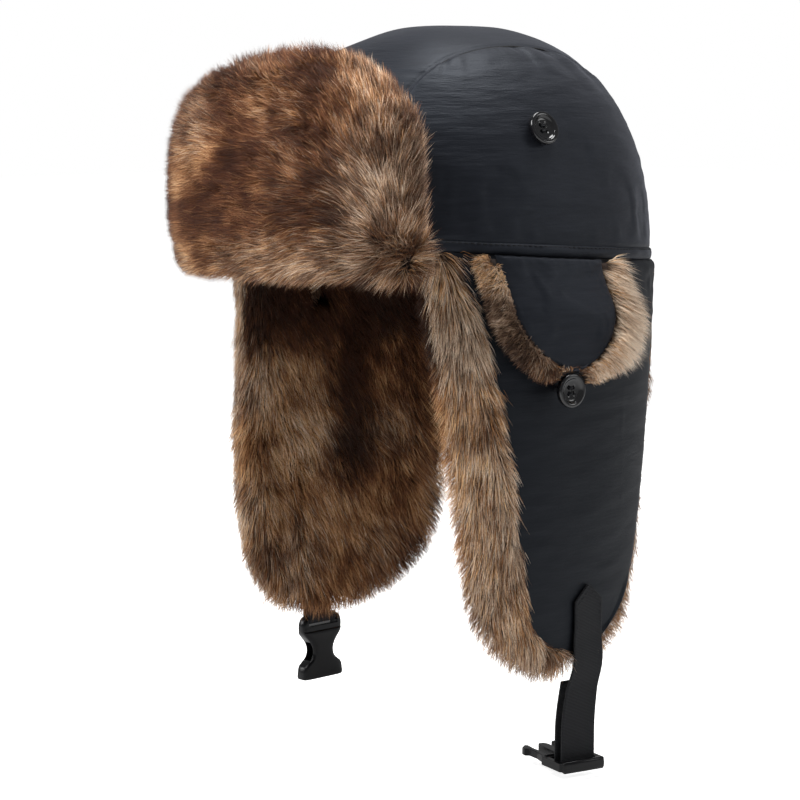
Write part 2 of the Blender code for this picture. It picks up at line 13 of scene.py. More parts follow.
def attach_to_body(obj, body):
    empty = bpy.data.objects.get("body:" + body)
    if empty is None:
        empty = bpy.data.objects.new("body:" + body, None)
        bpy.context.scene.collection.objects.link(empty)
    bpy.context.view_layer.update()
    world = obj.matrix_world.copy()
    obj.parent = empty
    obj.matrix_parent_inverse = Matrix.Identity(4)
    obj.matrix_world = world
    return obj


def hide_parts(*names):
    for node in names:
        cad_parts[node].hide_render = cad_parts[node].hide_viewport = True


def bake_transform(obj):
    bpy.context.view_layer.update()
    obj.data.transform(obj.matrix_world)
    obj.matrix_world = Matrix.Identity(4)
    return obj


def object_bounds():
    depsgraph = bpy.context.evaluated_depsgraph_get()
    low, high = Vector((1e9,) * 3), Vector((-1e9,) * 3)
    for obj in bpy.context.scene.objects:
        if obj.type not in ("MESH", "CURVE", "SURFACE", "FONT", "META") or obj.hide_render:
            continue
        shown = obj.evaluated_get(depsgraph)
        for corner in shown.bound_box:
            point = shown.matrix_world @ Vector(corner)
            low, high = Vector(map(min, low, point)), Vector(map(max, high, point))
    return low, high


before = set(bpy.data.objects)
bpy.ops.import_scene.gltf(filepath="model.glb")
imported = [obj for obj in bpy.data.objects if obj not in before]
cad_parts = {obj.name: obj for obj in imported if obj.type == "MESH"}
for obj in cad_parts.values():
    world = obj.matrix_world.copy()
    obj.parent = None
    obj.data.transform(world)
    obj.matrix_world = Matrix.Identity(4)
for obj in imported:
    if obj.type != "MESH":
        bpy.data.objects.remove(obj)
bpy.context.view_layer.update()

MM = 0.001
GAP = 0.4 * MM

# The hat's driving sizes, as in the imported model.
CROWN_HALF_WIDTH = 96 * MM
CROWN_HALF_LENGTH = 115 * MM
CROWN_HEIGHT = 115 * MM
CROWN_PLAN_POWER = 2.2
CROWN_PROFILE_POWER = 2.4
SEAM_X = 51 * MM
BAND_HEIGHT = 8 * MM
RIM_DROP = 0.075
FRONT_HALF_WIDTH = 97 * MM
FRONT_HALF_LENGTH = 117.6 * MM
FRONT_PLAN_POWER = 3.0
FRONT_FLAP_HEIGHT = 92 * MM
FRONT_FLAP_HALF_ANGLE = 39
FRONT_FLAP_CORNER = 42 * MM
EAR_FLAP_LENGTH = 198 * MM
EAR_FLAP_CORNER = 40 * MM
COVER_CENTRE_ANGLE = -9.6
COVER_HALF_WIDTH = 31 * MM
COVER_LENGTH = 54 * MM
COVER_TOP_OFFSET = 4.5 * MM
COVER_BULGE = 9 * MM
NECK_FLAP_LENGTH = 76 * MM
EAR_HOLE_CENTRE = (-16 * MM, -27 * MM)
EAR_HOLE_RADIUS = 19 * MM
SHELL_OUT = 3 * MM
CLOTH_THICKNESS = 1 * MM
RNG = np.random.default_rng(71)


# ---------------------------------------------------------------- numbers and noise


def smooth(amount):
    amount = np.clip(amount, 0, 1)
    return amount * amount * (3 - 2 * amount)


def mix(start, end, amount):
    return start + (end - start) * amount


def unit(vectors):
    return vectors / np.maximum(np.linalg.norm(vectors, axis=-1, keepdims=True), 1e-12)


def scatter(*cells):
    """A repeatable random number from 0 to 1 for each whole-number cell."""
    total = np.zeros(np.shape(cells[0]), np.uint64)
    for factor, cell in zip((73856093, 19349663, 83492791, 50331653), cells):
        total ^= np.asarray(cell).astype(np.int64).astype(np.uint64) * np.uint64(factor)
    for shift, factor in ((15, 2246822519), (13, 3266489917), (16, 668265263)):
        total = (total ^ (total >> np.uint64(shift))) * np.uint64(factor)
    return ((total >> np.uint64(20)) & np.uint64(0xFFFFF)).astype(float) / 0xFFFFF


def noise(points, size, seed):
    """Smooth noise from -1 to 1 over points, with features about the given size."""
    scaled = points / np.asarray(size) + 100
    cell = np.floor(scaled).astype(np.int64)
    part = scaled - cell
    part = part * part * (3 - 2 * part)
    total = np.zeros(len(points))
    for corner in range(8):
        step = np.array([corner & 1, corner >> 1 & 1, corner >> 2 & 1])
        weight = np.prod(np.where(step, part, 1 - part), axis=1)
        spot = cell + step
        seeds = np.full(len(points), seed)
        total += weight * scatter(spot[:, 0], spot[:, 1], spot[:, 2], seeds)
    return 2 * total - 1


# ---------------------------------------------------------------- the hat's surfaces


class Plan:
    """A superellipse seen from above, read by its polar angle from +X towards +Y."""

    def __init__(self, half_width, half_length, power):
        self.size = np.array([half_width, half_length])
        self.power = power
        self.mean_radius = (half_width + half_length) / 2

    def point(self, angle):
        ray = np.stack([np.cos(angle), np.sin(angle)], -1)
        level = (np.abs(ray / self.size) ** self.power).sum(-1, keepdims=True)
        flat = ray / level ** (1 / self.power)
        return np.concatenate([flat, np.zeros_like(flat[..., :1])], -1)

    def normal(self, angle):
        flat = self.point(angle)[..., :2]
        slope = np.sign(flat) * np.abs(flat / self.size) ** (self.power - 1) / self.size
        return unit(np.concatenate([slope, np.zeros_like(slope[..., :1])], -1))


CROWN_PLAN = Plan(CROWN_HALF_WIDTH, CROWN_HALF_LENGTH, CROWN_PLAN_POWER)
FRONT_PLAN = Plan(FRONT_HALF_WIDTH, FRONT_HALF_LENGTH, FRONT_PLAN_POWER)


def arc_of(plan, degrees):
    return math.radians(degrees) * plan.mean_radius


def crown_surface(angle, scale, offset=0.0):
    """Points of the crown at a polar angle, where scale runs from 1 at the rim to 0 at the top."""
    power = CROWN_PROFILE_POWER
    rise = (1 - np.clip(scale, 0, 1) ** power) ** (1 / power)
    rim = CROWN_PLAN.point(angle)
    points = rim * scale[..., None]
    points[..., 2] = CROWN_HEIGHT * rise
    flat = CROWN_PLAN.normal(angle)
    reach = (flat * rim).sum(-1)
    normal = flat * (scale ** (power - 1) / reach)[..., None]
    normal[..., 2] = rise ** (power - 1) / CROWN_HEIGHT
    points = points + unit(normal) * offset
    shoulder = -(0.68 * points[..., 0] + 0.73 * points[..., 1])
    sag = smooth(shoulder / (60 * MM)) * smooth((points[..., 2] - 50 * MM) / (40 * MM))
    points[..., 2] -= 5.5 * MM * sag
    return follow_rim(points)


def follow_rim(points):
    share = np.clip(1 - points[..., 2] / CROWN_HEIGHT, 0, None)
    points[..., 2] -= RIM_DROP * points[..., 1] * share
    return points


def hanging_wall(centre, side=1):
    """Points on the wall that hangs from the crown's rim, by arc length, depth and offset."""

    def place(arc, depth, offset):
        angle = math.radians(centre) + arc / CROWN_PLAN.mean_radius
        points = CROWN_PLAN.point(angle) + CROWN_PLAN.normal(angle) * offset[..., None]
        share = np.clip(1 - depth / EAR_FLAP_LENGTH, 0, None)
        points[..., 2] = -RIM_DROP * points[..., 1] * share - GAP - depth
        points[..., 0] *= side
        return points

    return place


def front_wall(arc, height, offset):
    """Points on the raised front flap, by arc length, height and offset."""
    angle = math.radians(-90) + arc / FRONT_PLAN.mean_radius
    points = FRONT_PLAN.point(angle) + FRONT_PLAN.normal(angle) * offset[..., None]
    points[..., 2] = GAP + height
    return points


class Tongue:
    """The outline of a tapering flap with a rounded end: its two edges at each depth.

    Each edge, low and high, has its own corner radius and its own bow.
    """

    def __init__(self, length, top, tip, corners, bows=(1.0, 1.0), start=0.0):
        self.length, self.top, self.tip = length, top, tip
        self.corners, self.bows, self.start = corners, bows, start

    def edges(self, depth):
        share = np.clip(depth / self.length, 0, 1)
        found = []
        for edge, inwards in ((0, 1), (1, -1)):
            corner = self.corners[edge]
            into = np.clip((depth - self.length + corner) / corner, 0, 1)
            inset = corner * (1 - np.sqrt(1 - into * into))
            found.append(mix(self.top[edge], self.tip[edge], share ** self.bows[edge]) + inwards * inset)
        return found

    def depths(self, straight, rounded):
        corner = max(self.corners)
        bend = self.length - corner
        upper = np.linspace(self.start, bend, straight, endpoint=False)
        swing = np.linspace(0, math.pi / 2, rounded)
        return np.concatenate([upper, bend + corner * np.sin(swing)])

    def inside(self, arc, depth):
        """How far a spot lies within the outline."""
        low, high = self.edges(depth)
        return np.minimum(np.minimum(arc - low, high - arc), self.length - depth)


def leaning_front_wall(arc, height, offset):
    """The raised front flap as it stands: the wearer's right side of it sags a little."""
    share = smooth(0.5 - arc / (160 * MM))
    return front_wall(arc, height * (1 - 0.1 * share) - 4 * MM * share, offset)


# ---------------------------------------------------------------- mesh building


def new_piece(name, points, faces, finish):
    mesh = bpy.data.meshes.new(name)
    mesh.from_pydata(points.reshape(-1, 3), [], faces)
    mesh.validate()
    mesh.polygons.foreach_set("use_smooth", [True] * len(mesh.polygons))
    mesh.materials.append(finish)
    obj = bpy.data.objects.new(name, mesh)
    bpy.context.scene.collection.objects.link(obj)
    return obj


def grid_faces(rows, columns, start=0, flip=False):
    r, c = np.meshgrid(np.arange(rows - 1), np.arange(columns - 1), indexing="ij")
    a = start + (r * columns + c).ravel()
    quads = np.stack([a, a + 1, a + columns + 1, a + columns], 1)
    return quads[:, ::-1] if flip else quads


def grid_rim(rows, columns):
    """The outline of a grid of points as a closed list of indices."""
    index = np.arange(rows * columns).reshape(rows, columns)
    return np.concatenate([index[0, :-1], index[:-1, -1], index[-1, :0:-1], index[:0:-1, 0]])


def grid_normals(grid):
    along = np.gradient(grid, axis=1)
    down = np.gradient(grid, axis=0)
    return unit(np.cross(along, down))


def closed_cloth(name, grid, thickness, finish, outward):
    """A closed sheet of cloth whose outer face is the grid. Outward tells which side is outside."""
    rows, columns = grid.shape[:2]
    normals = grid_normals(grid)
    if (normals * outward).sum(-1).mean() < 0:
        normals = -normals
        flip = False
    else:
        flip = True
    inner = grid - normals * thickness
    points = np.concatenate([grid.reshape(-1, 3), inner.reshape(-1, 3)])
    count = rows * columns
    faces = np.concatenate(
        [grid_faces(rows, columns, 0, flip), grid_faces(rows, columns, count, not flip)]
    )
    rim = grid_rim(rows, columns)
    after = np.roll(rim, -1)
    sides = np.stack([rim, rim + count, after + count, after], 1)
    if flip:
        sides = sides[:, ::-1]
    faces = np.concatenate([faces, sides[:, ::-1]])
    return new_piece(name, points, faces.tolist(), finish)


SETTLE_FRAMES = 24
SETTLE_BENDING = 0.6
DEEPEST_SINK = 0.3 * MM
CREASE_SIZE = (26 * MM, 26 * MM, 5 * MM)


def settle_cloth(name, grid, growth, pressure, reach=3 * MM, calm=0):
    """Lets a sheet that is a little too large settle between its pinned seams."""
    rows, columns = grid.shape[:2]
    mesh = bpy.data.meshes.new(name)
    normals = grid_normals(grid)
    outward = unit(grid - np.array([0, 0, -0.02]))
    flip = (normals * outward).sum() > 0
    mesh.from_pydata(grid.reshape(-1, 3), [], grid_faces(rows, columns, 0, flip).tolist())
    obj = bpy.data.objects.new(name, mesh)
    bpy.context.scene.collection.objects.link(obj)
    group = obj.vertex_groups.new(name="pin")
    for index in np.flatnonzero(rim_mask(grid).ravel()):
        group.add([int(index)], 1.0, "REPLACE")
    cloth = obj.modifiers.new("cloth", "CLOTH")
    settings = cloth.settings
    settings.quality = 6
    settings.mass = 0.12
    settings.tension_stiffness = 18
    settings.compression_stiffness = 12
    settings.shear_stiffness = 8
    settings.bending_stiffness = SETTLE_BENDING
    settings.air_damping = 2
    settings.vertex_group_mass = "pin"
    settings.shrink_min = -growth
    settings.use_pressure = True
    settings.uniform_pressure_force = pressure
    settings.effector_weights.gravity = 0
    cloth.collision_settings.use_collision = False
    cloth.collision_settings.use_self_collision = False
    cloth.point_cache.frame_start = 1
    cloth.point_cache.frame_end = SETTLE_FRAMES
    scene = bpy.context.scene
    for step in range(1, SETTLE_FRAMES + 1):
        scene.frame_set(step)
    evaluated = obj.evaluated_get(bpy.context.evaluated_depsgraph_get())
    settled = np.empty(rows * columns * 3, np.float32)
    evaluated.data.vertices.foreach_get("co", settled)
    bpy.data.objects.remove(obj)
    scene.frame_set(1)
    moved = settled.reshape(grid.shape).astype(float) - grid
    out = normals if (normals * outward).sum() > 0 else -normals
    for _ in range(calm):
        around = moved[:-2, 1:-1] + moved[2:, 1:-1] + moved[1:-1, :-2] + moved[1:-1, 2:]
        moved[1:-1, 1:-1] = around / 4
    sunk = np.minimum((moved * out).sum(-1, keepdims=True), 0)
    moved += out * (DEEPEST_SINK * np.tanh(sunk / DEEPEST_SINK) - sunk)
    length = np.linalg.norm(moved, axis=-1, keepdims=True)
    moved *= reach * np.tanh(length / reach) / np.maximum(length, 1e-9)
    return grid + moved


def refine(grid):
    """Adds smooth points between those of a grid, by cubic weights."""
    for axis in (0, 1):
        a = np.moveaxis(grid, axis, 0)
        padded = np.concatenate([2 * a[:1] - a[1:2], a, 2 * a[-1:] - a[-2:-1]])
        middle = (9 * (padded[1:-2] + padded[2:-1]) - padded[:-3] - padded[3:]) / 16
        out = np.empty((2 * len(a) - 1,) + a.shape[1:])
        out[0::2] = a
        out[1::2] = middle
        grid = np.moveaxis(out, 0, axis)
    return grid


def crinkle(grid, amount, seed):
    """Pushes a grid in and out in fine, mostly level creases."""
    normals = grid_normals(grid)
    flat = grid.reshape(-1, 3)
    size = np.array(CREASE_SIZE)
    warp = noise(flat, 30 * MM, seed + 7)[:, None] * np.array([0, 0, 4 * MM])
    waves = noise(flat + warp, size, seed) + 0.5 * noise(flat - warp, size * 0.45, seed + 1)
    level = smooth((np.abs(normals[..., 2]).ravel() - 0.8) / 0.15)
    waves = mix(waves, 0.8 * noise(flat, 19 * MM, seed + 5), level)
    waves += 0.8 * noise(flat, 42 * MM, seed + 2)
    push = (amount * waves).reshape(grid.shape[:2])
    return grid + normals * push[..., None]


def stitch_row(name, path, normals, finish, pitch=3.2 * MM, length=2.3 * MM, width=0.55 * MM):
    """A row of sewn stitches along a path that lies on cloth."""
    steps = np.linalg.norm(np.diff(path, axis=0), axis=1)
    travelled = np.concatenate([[0], np.cumsum(steps)])
    starts = np.arange(0.5 * pitch, travelled[-1] - 0.5 * pitch, pitch)

    def at(values, distance):
        return np.stack([np.interp(distance, travelled, values[:, k]) for k in range(3)], -1)

    centre = at(path, starts)
    ahead = unit(at(path, starts + 0.1 * MM) - at(path, starts - 0.1 * MM))
    up = unit(at(normals, starts))
    across = unit(np.cross(up, ahead))
    profile = [(-0.5, 0.35), (-0.3, 1.0), (0.3, 1.0), (0.5, 0.35)]
    sides = 6
    rings = []
    for along, fat in profile:
        for k in range(sides):
            turn = 2 * math.pi * k / sides
            spot = centre + ahead * along * length
            spot = spot + across * (math.cos(turn) * fat * width / 2)
            rings.append(spot + up * (math.sin(turn) * fat * width / 2))
    points = np.stack(rings, 1)
    faces = []
    for ring in range(len(profile) - 1):
        for k in range(sides):
            a, b = ring * sides + k, ring * sides + (k + 1) % sides
            faces.append((a, b, b + sides, a + sides))
    first = [tuple(range(sides - 1, -1, -1)), tuple(range((len(profile) - 1) * sides, len(profile) * sides))]
    count = points.shape[1]
    every = [
        tuple(int(i + n * count) for i in face) for n in range(len(points)) for face in faces + first
    ]
    return new_piece(name, points, every, finish)


# ---------------------------------------------------------------- materials


class Finish:
    """A Principled material with helpers for its procedural nodes."""

    def __init__(self, name, roughness, colour=(0.5, 0.5, 0.5)):
        self.material = bpy.data.materials.new(name)
        self.material.use_nodes = True
        self.tree = self.material.node_tree
        self.shader = self.tree.nodes["Principled BSDF"]
        self.shader.inputs["Roughness"].default_value = roughness
        self.shader.inputs["Base Color"].default_value = (*colour, 1)

    def node(self, kind, **values):
        made = self.tree.nodes.new(kind)
        for key, value in values.items():
            if key in made.inputs:
                made.inputs[key].default_value = value
            else:
                setattr(made, key, value)
        return made

    def link(self, source, target):
        self.tree.links.new(source, target)

    def place(self, scale):
        """Object coordinates, stretched by a scale per axis."""
        coordinates = self.node("ShaderNodeTexCoord")
        mapping = self.node("ShaderNodeMapping")
        mapping.inputs["Scale"].default_value = scale
        self.link(coordinates.outputs["Object"], mapping.inputs["Vector"])
        return mapping.outputs["Vector"]

    def ramp(self, source, stops):
        made = self.node("ShaderNodeValToRGB")
        ramp = made.color_ramp
        while len(ramp.elements) < len(stops):
            ramp.elements.new(0.5)
        for element, (position, colour) in zip(ramp.elements, stops):
            element.position = position
            element.color = (*colour, 1)
        self.link(source, made.inputs["Fac"])
        return made.outputs["Color"]

    def bump(self, layers, distance):
        """Stacks bump layers, each (height output, strength)."""
        previous = None
        for height, strength in layers:
            made = self.node("ShaderNodeBump", Strength=strength, Distance=distance)
            self.link(height, made.inputs["Height"])
            if previous is not None:
                self.link(previous, made.inputs["Normal"])
            previous = made.outputs["Normal"]
        self.link(previous, self.shader.inputs["Normal"])

    def fade_level(self, value):
        """Fades a layer out where the cloth lies level, as level creases would run in rings there."""
        place = self.node("ShaderNodeTexCoord")
        split = self.node("ShaderNodeSeparateXYZ")
        self.link(place.outputs["Normal"], split.inputs[0])
        steep = self.node("ShaderNodeMapRange")
        for key, setting in (("From Min", 0.99), ("From Max", 0.93)):
            steep.inputs[key].default_value = setting
        self.link(split.outputs["Z"], steep.inputs["Value"])
        faded = self.node("ShaderNodeMath", operation="MULTIPLY")
        self.link(value, faded.inputs[0])
        self.link(steep.outputs["Result"], faded.inputs[1])
        return faded.outputs["Value"]


def noise_layer(finish, scale, detail):
    made = finish.node("ShaderNodeTexNoise", Scale=1.0, Detail=detail, Roughness=0.6)
    finish.link(finish.place(scale), made.inputs["Vector"])
    return made.outputs["Fac"]


def weave_layer(finish, threads_per_metre):
    made = finish.node("ShaderNodeTexWave", Scale=1.0, Distortion=1.2)
    made.bands_direction = "Z"
    finish.link(finish.place((threads_per_metre,) * 3), made.inputs["Vector"])
    return made.outputs["Fac"]


def nylon_finish(name, dark, light, roughness=0.5, creases=1.0, sheen=0.07):
    finish = Finish(name, roughness)
    tone = noise_layer(finish, (60, 60, 420), 4.0)
    finish.link(finish.ramp(tone, [(0.3, dark), (0.7, light)]), finish.shader.inputs["Base Color"])
    crease = noise_layer(finish, (30, 30, 330), 5.0)
    pucker = noise_layer(finish, (90, 90, 700), 3.0)
    grain = noise_layer(finish, (1100, 1100, 2600), 2.0)
    crease, pucker = finish.fade_level(crease), finish.fade_level(pucker)
    finish.bump([(crease, 0.5 * creases), (pucker, 0.3 * creases), (grain, 0.12)], 0.7 * MM)
    finish.shader.inputs["Specular IOR Level"].default_value = 0.2
    finish.shader.inputs["Specular Tint"].default_value = (0.74, 0.84, 1.0, 1)
    finish.shader.inputs["Sheen Weight"].default_value = sheen
    finish.shader.inputs["Sheen Roughness"].default_value = 0.4
    finish.shader.inputs["Sheen Tint"].default_value = (0.80, 0.84, 1.0, 1)
    return finish.material


def plain_cloth_finish(name, dark, light, roughness):
    finish = Finish(name, roughness)
    tone = noise_layer(finish, (300, 300, 300), 4.0)
    finish.link(
        finish.ramp(tone, [(0.3, dark), (0.7, light)]), finish.shader.inputs["Base Color"]
    )
    finish.bump([(weave_layer(finish, 1500), 0.3), (tone, 0.2)], 0.3 * MM)
    return finish.material


def webbing_finish():
    finish = Finish("webbing", 0.62)
    rib = finish.node("ShaderNodeTexWave", Scale=1.0, Distortion=0.0)
    rib.bands_direction = "Z"
    finish.link(finish.place((420, 420, 420)), rib.inputs["Vector"])
    cord = finish.node("ShaderNodeTexWave", Scale=1.0, Distortion=0.6)
    cord.bands_direction = "Y"
    finish.link(finish.place((500, 500, 500)), cord.inputs["Vector"])
    shade = finish.ramp(rib.outputs["Fac"], [(0.0, (0.006, 0.006, 0.007)), (1.0, (0.015, 0.016, 0.019))])
    finish.link(shade, finish.shader.inputs["Base Color"])
    finish.bump([(rib.outputs["Fac"], 0.6), (cord.outputs["Fac"], 0.5)], 0.4 * MM)
    finish.shader.inputs["Specular IOR Level"].default_value = 0.2
    return finish.material


def plastic_finish(name, roughness, specular, dark, light):
    finish = Finish(name, roughness)
    tone = noise_layer(finish, (220, 220, 220), 3.0)
    shade = finish.ramp(tone, [(0.3, dark), (0.7, light)])
    finish.link(shade, finish.shader.inputs["Base Color"])
    finish.bump([(noise_layer(finish, (1400, 1400, 1400), 2.0), 0.06)], 0.2 * MM)
    finish.shader.inputs["Specular IOR Level"].default_value = specular
    return finish.material


def thread_and_seam_shadow_finish(name, dark, light):
    finish = Finish(name, 0.6)
    finish.shader.inputs["Specular IOR Level"].default_value = 0.2
    twist = noise_layer(finish, (2500, 2500, 2500), 2.0)
    shade = finish.ramp(twist, [(0.3, dark), (0.7, light)])
    finish.link(shade, finish.shader.inputs["Base Color"])
    finish.bump([(twist, 0.4)], 0.2 * MM)
    return finish.material


ROOT_COLOURS = [
    (0.0, (0.010, 0.004, 0.002)),
    (0.49, (0.070, 0.032, 0.015)),
    (0.51, (0.012, 0.007, 0.005)),
    (1.0, (0.090, 0.057, 0.038)),
]
MIDDLE_COLOURS = [
    (0.0, (0.044, 0.016, 0.007)),
    (0.20, (0.230, 0.095, 0.036)),
    (0.38, (0.580, 0.310, 0.135)),
    (0.49, (0.820, 0.530, 0.280)),
    (0.51, (0.040, 0.023, 0.016)),
    (0.70, (0.240, 0.146, 0.092)),
    (0.88, (0.620, 0.440, 0.305)),
    (1.0, (0.880, 0.710, 0.540)),
]
TIP_COLOURS = [
    (0.0, (0.034, 0.010, 0.006)),
    (0.20, (0.160, 0.052, 0.022)),
    (0.36, (0.690, 0.370, 0.175)),
    (0.49, (0.970, 0.710, 0.440)),
    (0.51, (0.032, 0.017, 0.012)),
    (0.70, (0.185, 0.105, 0.066)),
    (0.86, (0.810, 0.610, 0.440)),
    (1.0, (0.980, 0.870, 0.740)),
]


def hair_finish():
    """Hair coloured by its UV layer: u is the hair's tone, first reddish then greyish, v its length."""
    finish = Finish("fur_hair", 0.5)
    finish.shader.inputs["Specular IOR Level"].default_value = 0.14
    layer = finish.node("ShaderNodeUVMap")
    layer.uv_map = "OFBake"
    split = finish.node("ShaderNodeSeparateXYZ")
    finish.link(layer.outputs["UV"], split.inputs["Vector"])
    tone, along = split.outputs["X"], split.outputs["Y"]
    colour = finish.ramp(tone, ROOT_COLOURS)
    for stops, start, end in ((MIDDLE_COLOURS, 0.02, 0.40), (TIP_COLOURS, 0.50, 0.92)):
        reach = finish.node("ShaderNodeMapRange")
        reach.interpolation_type = "SMOOTHSTEP"
        reach.inputs["From Min"].default_value = start
        reach.inputs["From Max"].default_value = end
        finish.link(along, reach.inputs["Value"])
        blend = finish.node("ShaderNodeMix", data_type="RGBA")
        finish.link(reach.outputs["Result"], blend.inputs["Factor"])
        finish.link(colour, blend.inputs[6])
        finish.link(finish.ramp(tone, stops), blend.inputs[7])
        colour = blend.outputs[2]
    finish.link(colour, finish.shader.inputs["Base Color"])
    return finish.material


def pelt_finish():
    finish = Finish("fur_pelt", 0.9)
    tone = noise_layer(finish, (90, 90, 90), 5.0)
    stops = [(0.3, (0.010, 0.005, 0.003)), (0.55, (0.024, 0.012, 0.007)), (0.75, (0.050, 0.028, 0.017))]
    finish.link(finish.ramp(tone, stops), finish.shader.inputs["Base Color"])
    finish.bump([(noise_layer(finish, (900, 900, 250), 4.0), 0.8)], 1.2 * MM)
    return finish.material


NYLON = nylon_finish("nylon_outer", (0.0046, 0.0052, 0.0074), (0.0078, 0.0087, 0.0118), 0.5, 1.0, 0.095)
# A much darker copy of the crown nylon for the ear and neck flaps: painted shade on the hanging flaps.
SHADED_NYLON_FLAP = nylon_finish("nylon_flap_painted_shade", (0.0011, 0.0013, 0.0021), (0.0020, 0.0023, 0.0034), 0.5, 0.45, 0.012)
# A lighter copy of the crown nylon for the band: painted light on the band.
LIT_NYLON_BAND = nylon_finish("nylon_band_painted_light", (0.0074, 0.0082, 0.0112), (0.0120, 0.0132, 0.0172), 0.5)
LINING = plain_cloth_finish("lining", (0.010, 0.010, 0.012), (0.02, 0.02, 0.023), 0.7)
WEBBING = webbing_finish()
PLASTIC = plastic_finish("button_plastic", 0.12, 0.5, (0.003, 0.003, 0.004), (0.006, 0.006, 0.007))
BUCKLE_PLASTIC = plastic_finish("buckle_plastic", 0.26, 0.2, (0.002, 0.002, 0.0026), (0.0036, 0.0038, 0.0046))
THREAD = thread_and_seam_shadow_finish("thread", (0.004, 0.004, 0.005), (0.014, 0.015, 0.018))
# A near-black finish for the tubes laid in the crown's seams: a painted shadow line, not thread.
SEAM_SHADOW_FINISH = thread_and_seam_shadow_finish("seam_thread", (0.0008, 0.0008, 0.001), (0.002, 0.002, 0.0025))
HAIR = hair_finish()
PELT = pelt_finish()


# ---------------------------------------------------------------- fur


class Pelt:
    """A pillow-shaped pelt on a wall. It knows, at each point, how its hairs can be combed."""

    def __init__(self, wall, tongue, low, high, rows=(26, 16), columns=40, round_top=False, roll=None):
        depths = tongue.depths(*rows)
        across = 0.5 - 0.5 * np.cos(np.linspace(0, math.pi, columns))
        across = mix(across, np.linspace(0, 1, columns), 0.5)
        first, last = tongue.edges(depths)
        self.arc = first[:, None] + (last - first)[:, None] * across[None, :]
        self.depth = np.repeat(depths[:, None], columns, 1)
        share = np.clip((self.depth - tongue.start) / (tongue.length - tongue.start), 0, 1)
        side = np.abs(2 * across - 1)[None, :]
        full = (1 - side**6) ** 0.5 * (1 - share**14) ** 0.5
        if round_top:
            full = full * (1 - (1 - share) ** 14) ** 0.5
        full = np.maximum(full, 0.06)
        middle = (low + high) / 2
        if roll is not None:
            middle = middle + roll(self.arc, self.depth)
        half = (high - low) / 2
        self.wall = wall
        grids = [
            self.locate(middle + sign * half * full) for sign in (-1, 1)
        ]
        self.offsets = [middle + sign * half * full for sign in (-1, 1)]
        self.build(grids)
        self.edge = np.concatenate([side.repeat(len(depths), 0).ravel()] * 2)
        self.share = np.concatenate([share.ravel()] * 2)
        self.face_side = np.concatenate([np.full(self.arc.size, s, float) for s in (-1, 1)])

    def locate(self, offset):
        return self.wall(self.arc, self.depth, offset * np.ones_like(self.arc))

    def build(self, grids):
        rows, columns = self.arc.shape
        count = rows * columns
        points = np.concatenate([g.reshape(-1, 3) for g in grids])
        faces = [grid_faces(rows, columns, 0, False), grid_faces(rows, columns, count, True)]
        rim = grid_rim(rows, columns)
        after = np.roll(rim, -1)
        faces.append(np.stack([rim, rim + count, after + count, after], 1))
        faces = np.concatenate(faces)
        centre = points[faces].mean(1)
        normal = np.cross(
            points[faces[:, 1]] - points[faces[:, 0]], points[faces[:, 2]] - points[faces[:, 0]]
        )
        outward = grids[1].reshape(-1, 3) - grids[0].reshape(-1, 3)
        upper = slice(len(faces[0]) and (rows - 1) * (columns - 1), 2 * (rows - 1) * (columns - 1))
        if (normal[upper] * outward[faces[upper][:, 0] - count]).sum() < 0:
            faces = faces[:, ::-1]
            normal = -normal
        self.points, self.faces, self.centre = points, faces, centre
        vertex_normals = np.zeros_like(points)
        for k in range(4):
            np.add.at(vertex_normals, faces[:, k], normal)
        self.normals = unit(vertex_normals)
        step = 0.5 * MM
        arc, depth = np.concatenate([self.arc.ravel()] * 2), np.concatenate([self.depth.ravel()] * 2)
        offset = np.concatenate([o.ravel() for o in self.offsets])
        self.arcs, self.depths_all = arc, depth
        here = self.wall(arc, depth, offset)
        self.along_arc = unit(self.wall(arc + step, depth, offset) - here)
        self.along_depth = unit(self.wall(arc, depth + step, offset) - here)
        self.along_out = unit(self.wall(arc, depth, offset + step) - here)

    def sample(self, count, density):
        """Random spots over the pelt, denser where density is high, with each spot's numbers."""
        quads = self.faces
        a, b, c, d = (self.points[quads[:, k]] for k in range(4))
        area = np.linalg.norm(np.cross(c - a, d - b), axis=1) / 2
        values = {
            "arc": self.arcs,
            "depth": self.depths_all,
            "edge": self.edge,
            "share": self.share,
            "side": self.face_side,
        }
        middle = {key: value[quads].mean(1) for key, value in values.items()}
        middle["point"] = self.centre
        weight = area * density(middle)
        chosen = RNG.choice(len(quads), count, p=weight / weight.sum())
        s, t = RNG.random(count), RNG.random(count)
        mixers = np.stack([(1 - s) * (1 - t), s * (1 - t), s * t, (1 - s) * t], 1)

        def at(array):
            picked = array[quads[chosen]]
            if picked.ndim == 3:
                return (picked * mixers[..., None]).sum(1)
            return (picked * mixers).sum(1)

        spots = {key: at(value) for key, value in values.items()}
        spots["point"] = at(self.points)
        for key, array in (
            ("normal", self.normals),
            ("t_arc", self.along_arc),
            ("t_depth", self.along_depth),
            ("t_out", self.along_out),
        ):
            spots[key] = unit(at(array))
        return spots


def clump_pull(spots, size, seed):
    """For each hair, the vector to its clump's centre and the clump's own random number."""
    u, v = spots["arc"] / size, spots["depth"] / size
    best = np.full(len(u), 1e9)
    to_u, to_v, tag = np.zeros(len(u)), np.zeros(len(u)), np.zeros(len(u))
    side = np.where(spots["side"] > 0, 5, 9) + seed
    for du in (-1, 0, 1):
        for dv in (-1, 0, 1):
            cu, cv = np.floor(u) + du, np.floor(v) + dv
            pu = cu + scatter(cu + 500, cv + 500, side)
            pv = cv + scatter(cu + 900, cv + 300, side + 17)
            distance = (pu - u) ** 2 + (pv - v) ** 2
            near = distance < best
            best = np.where(near, distance, best)
            to_u, to_v = np.where(near, pu - u, to_u), np.where(near, pv - v, to_v)
            tag = np.where(near, scatter(cu + 70, cv + 40, side + 3), tag)
    pull = spots["t_arc"] * (to_u * size)[:, None] + spots["t_depth"] * (to_v * size)[:, None]
    return pull, tag


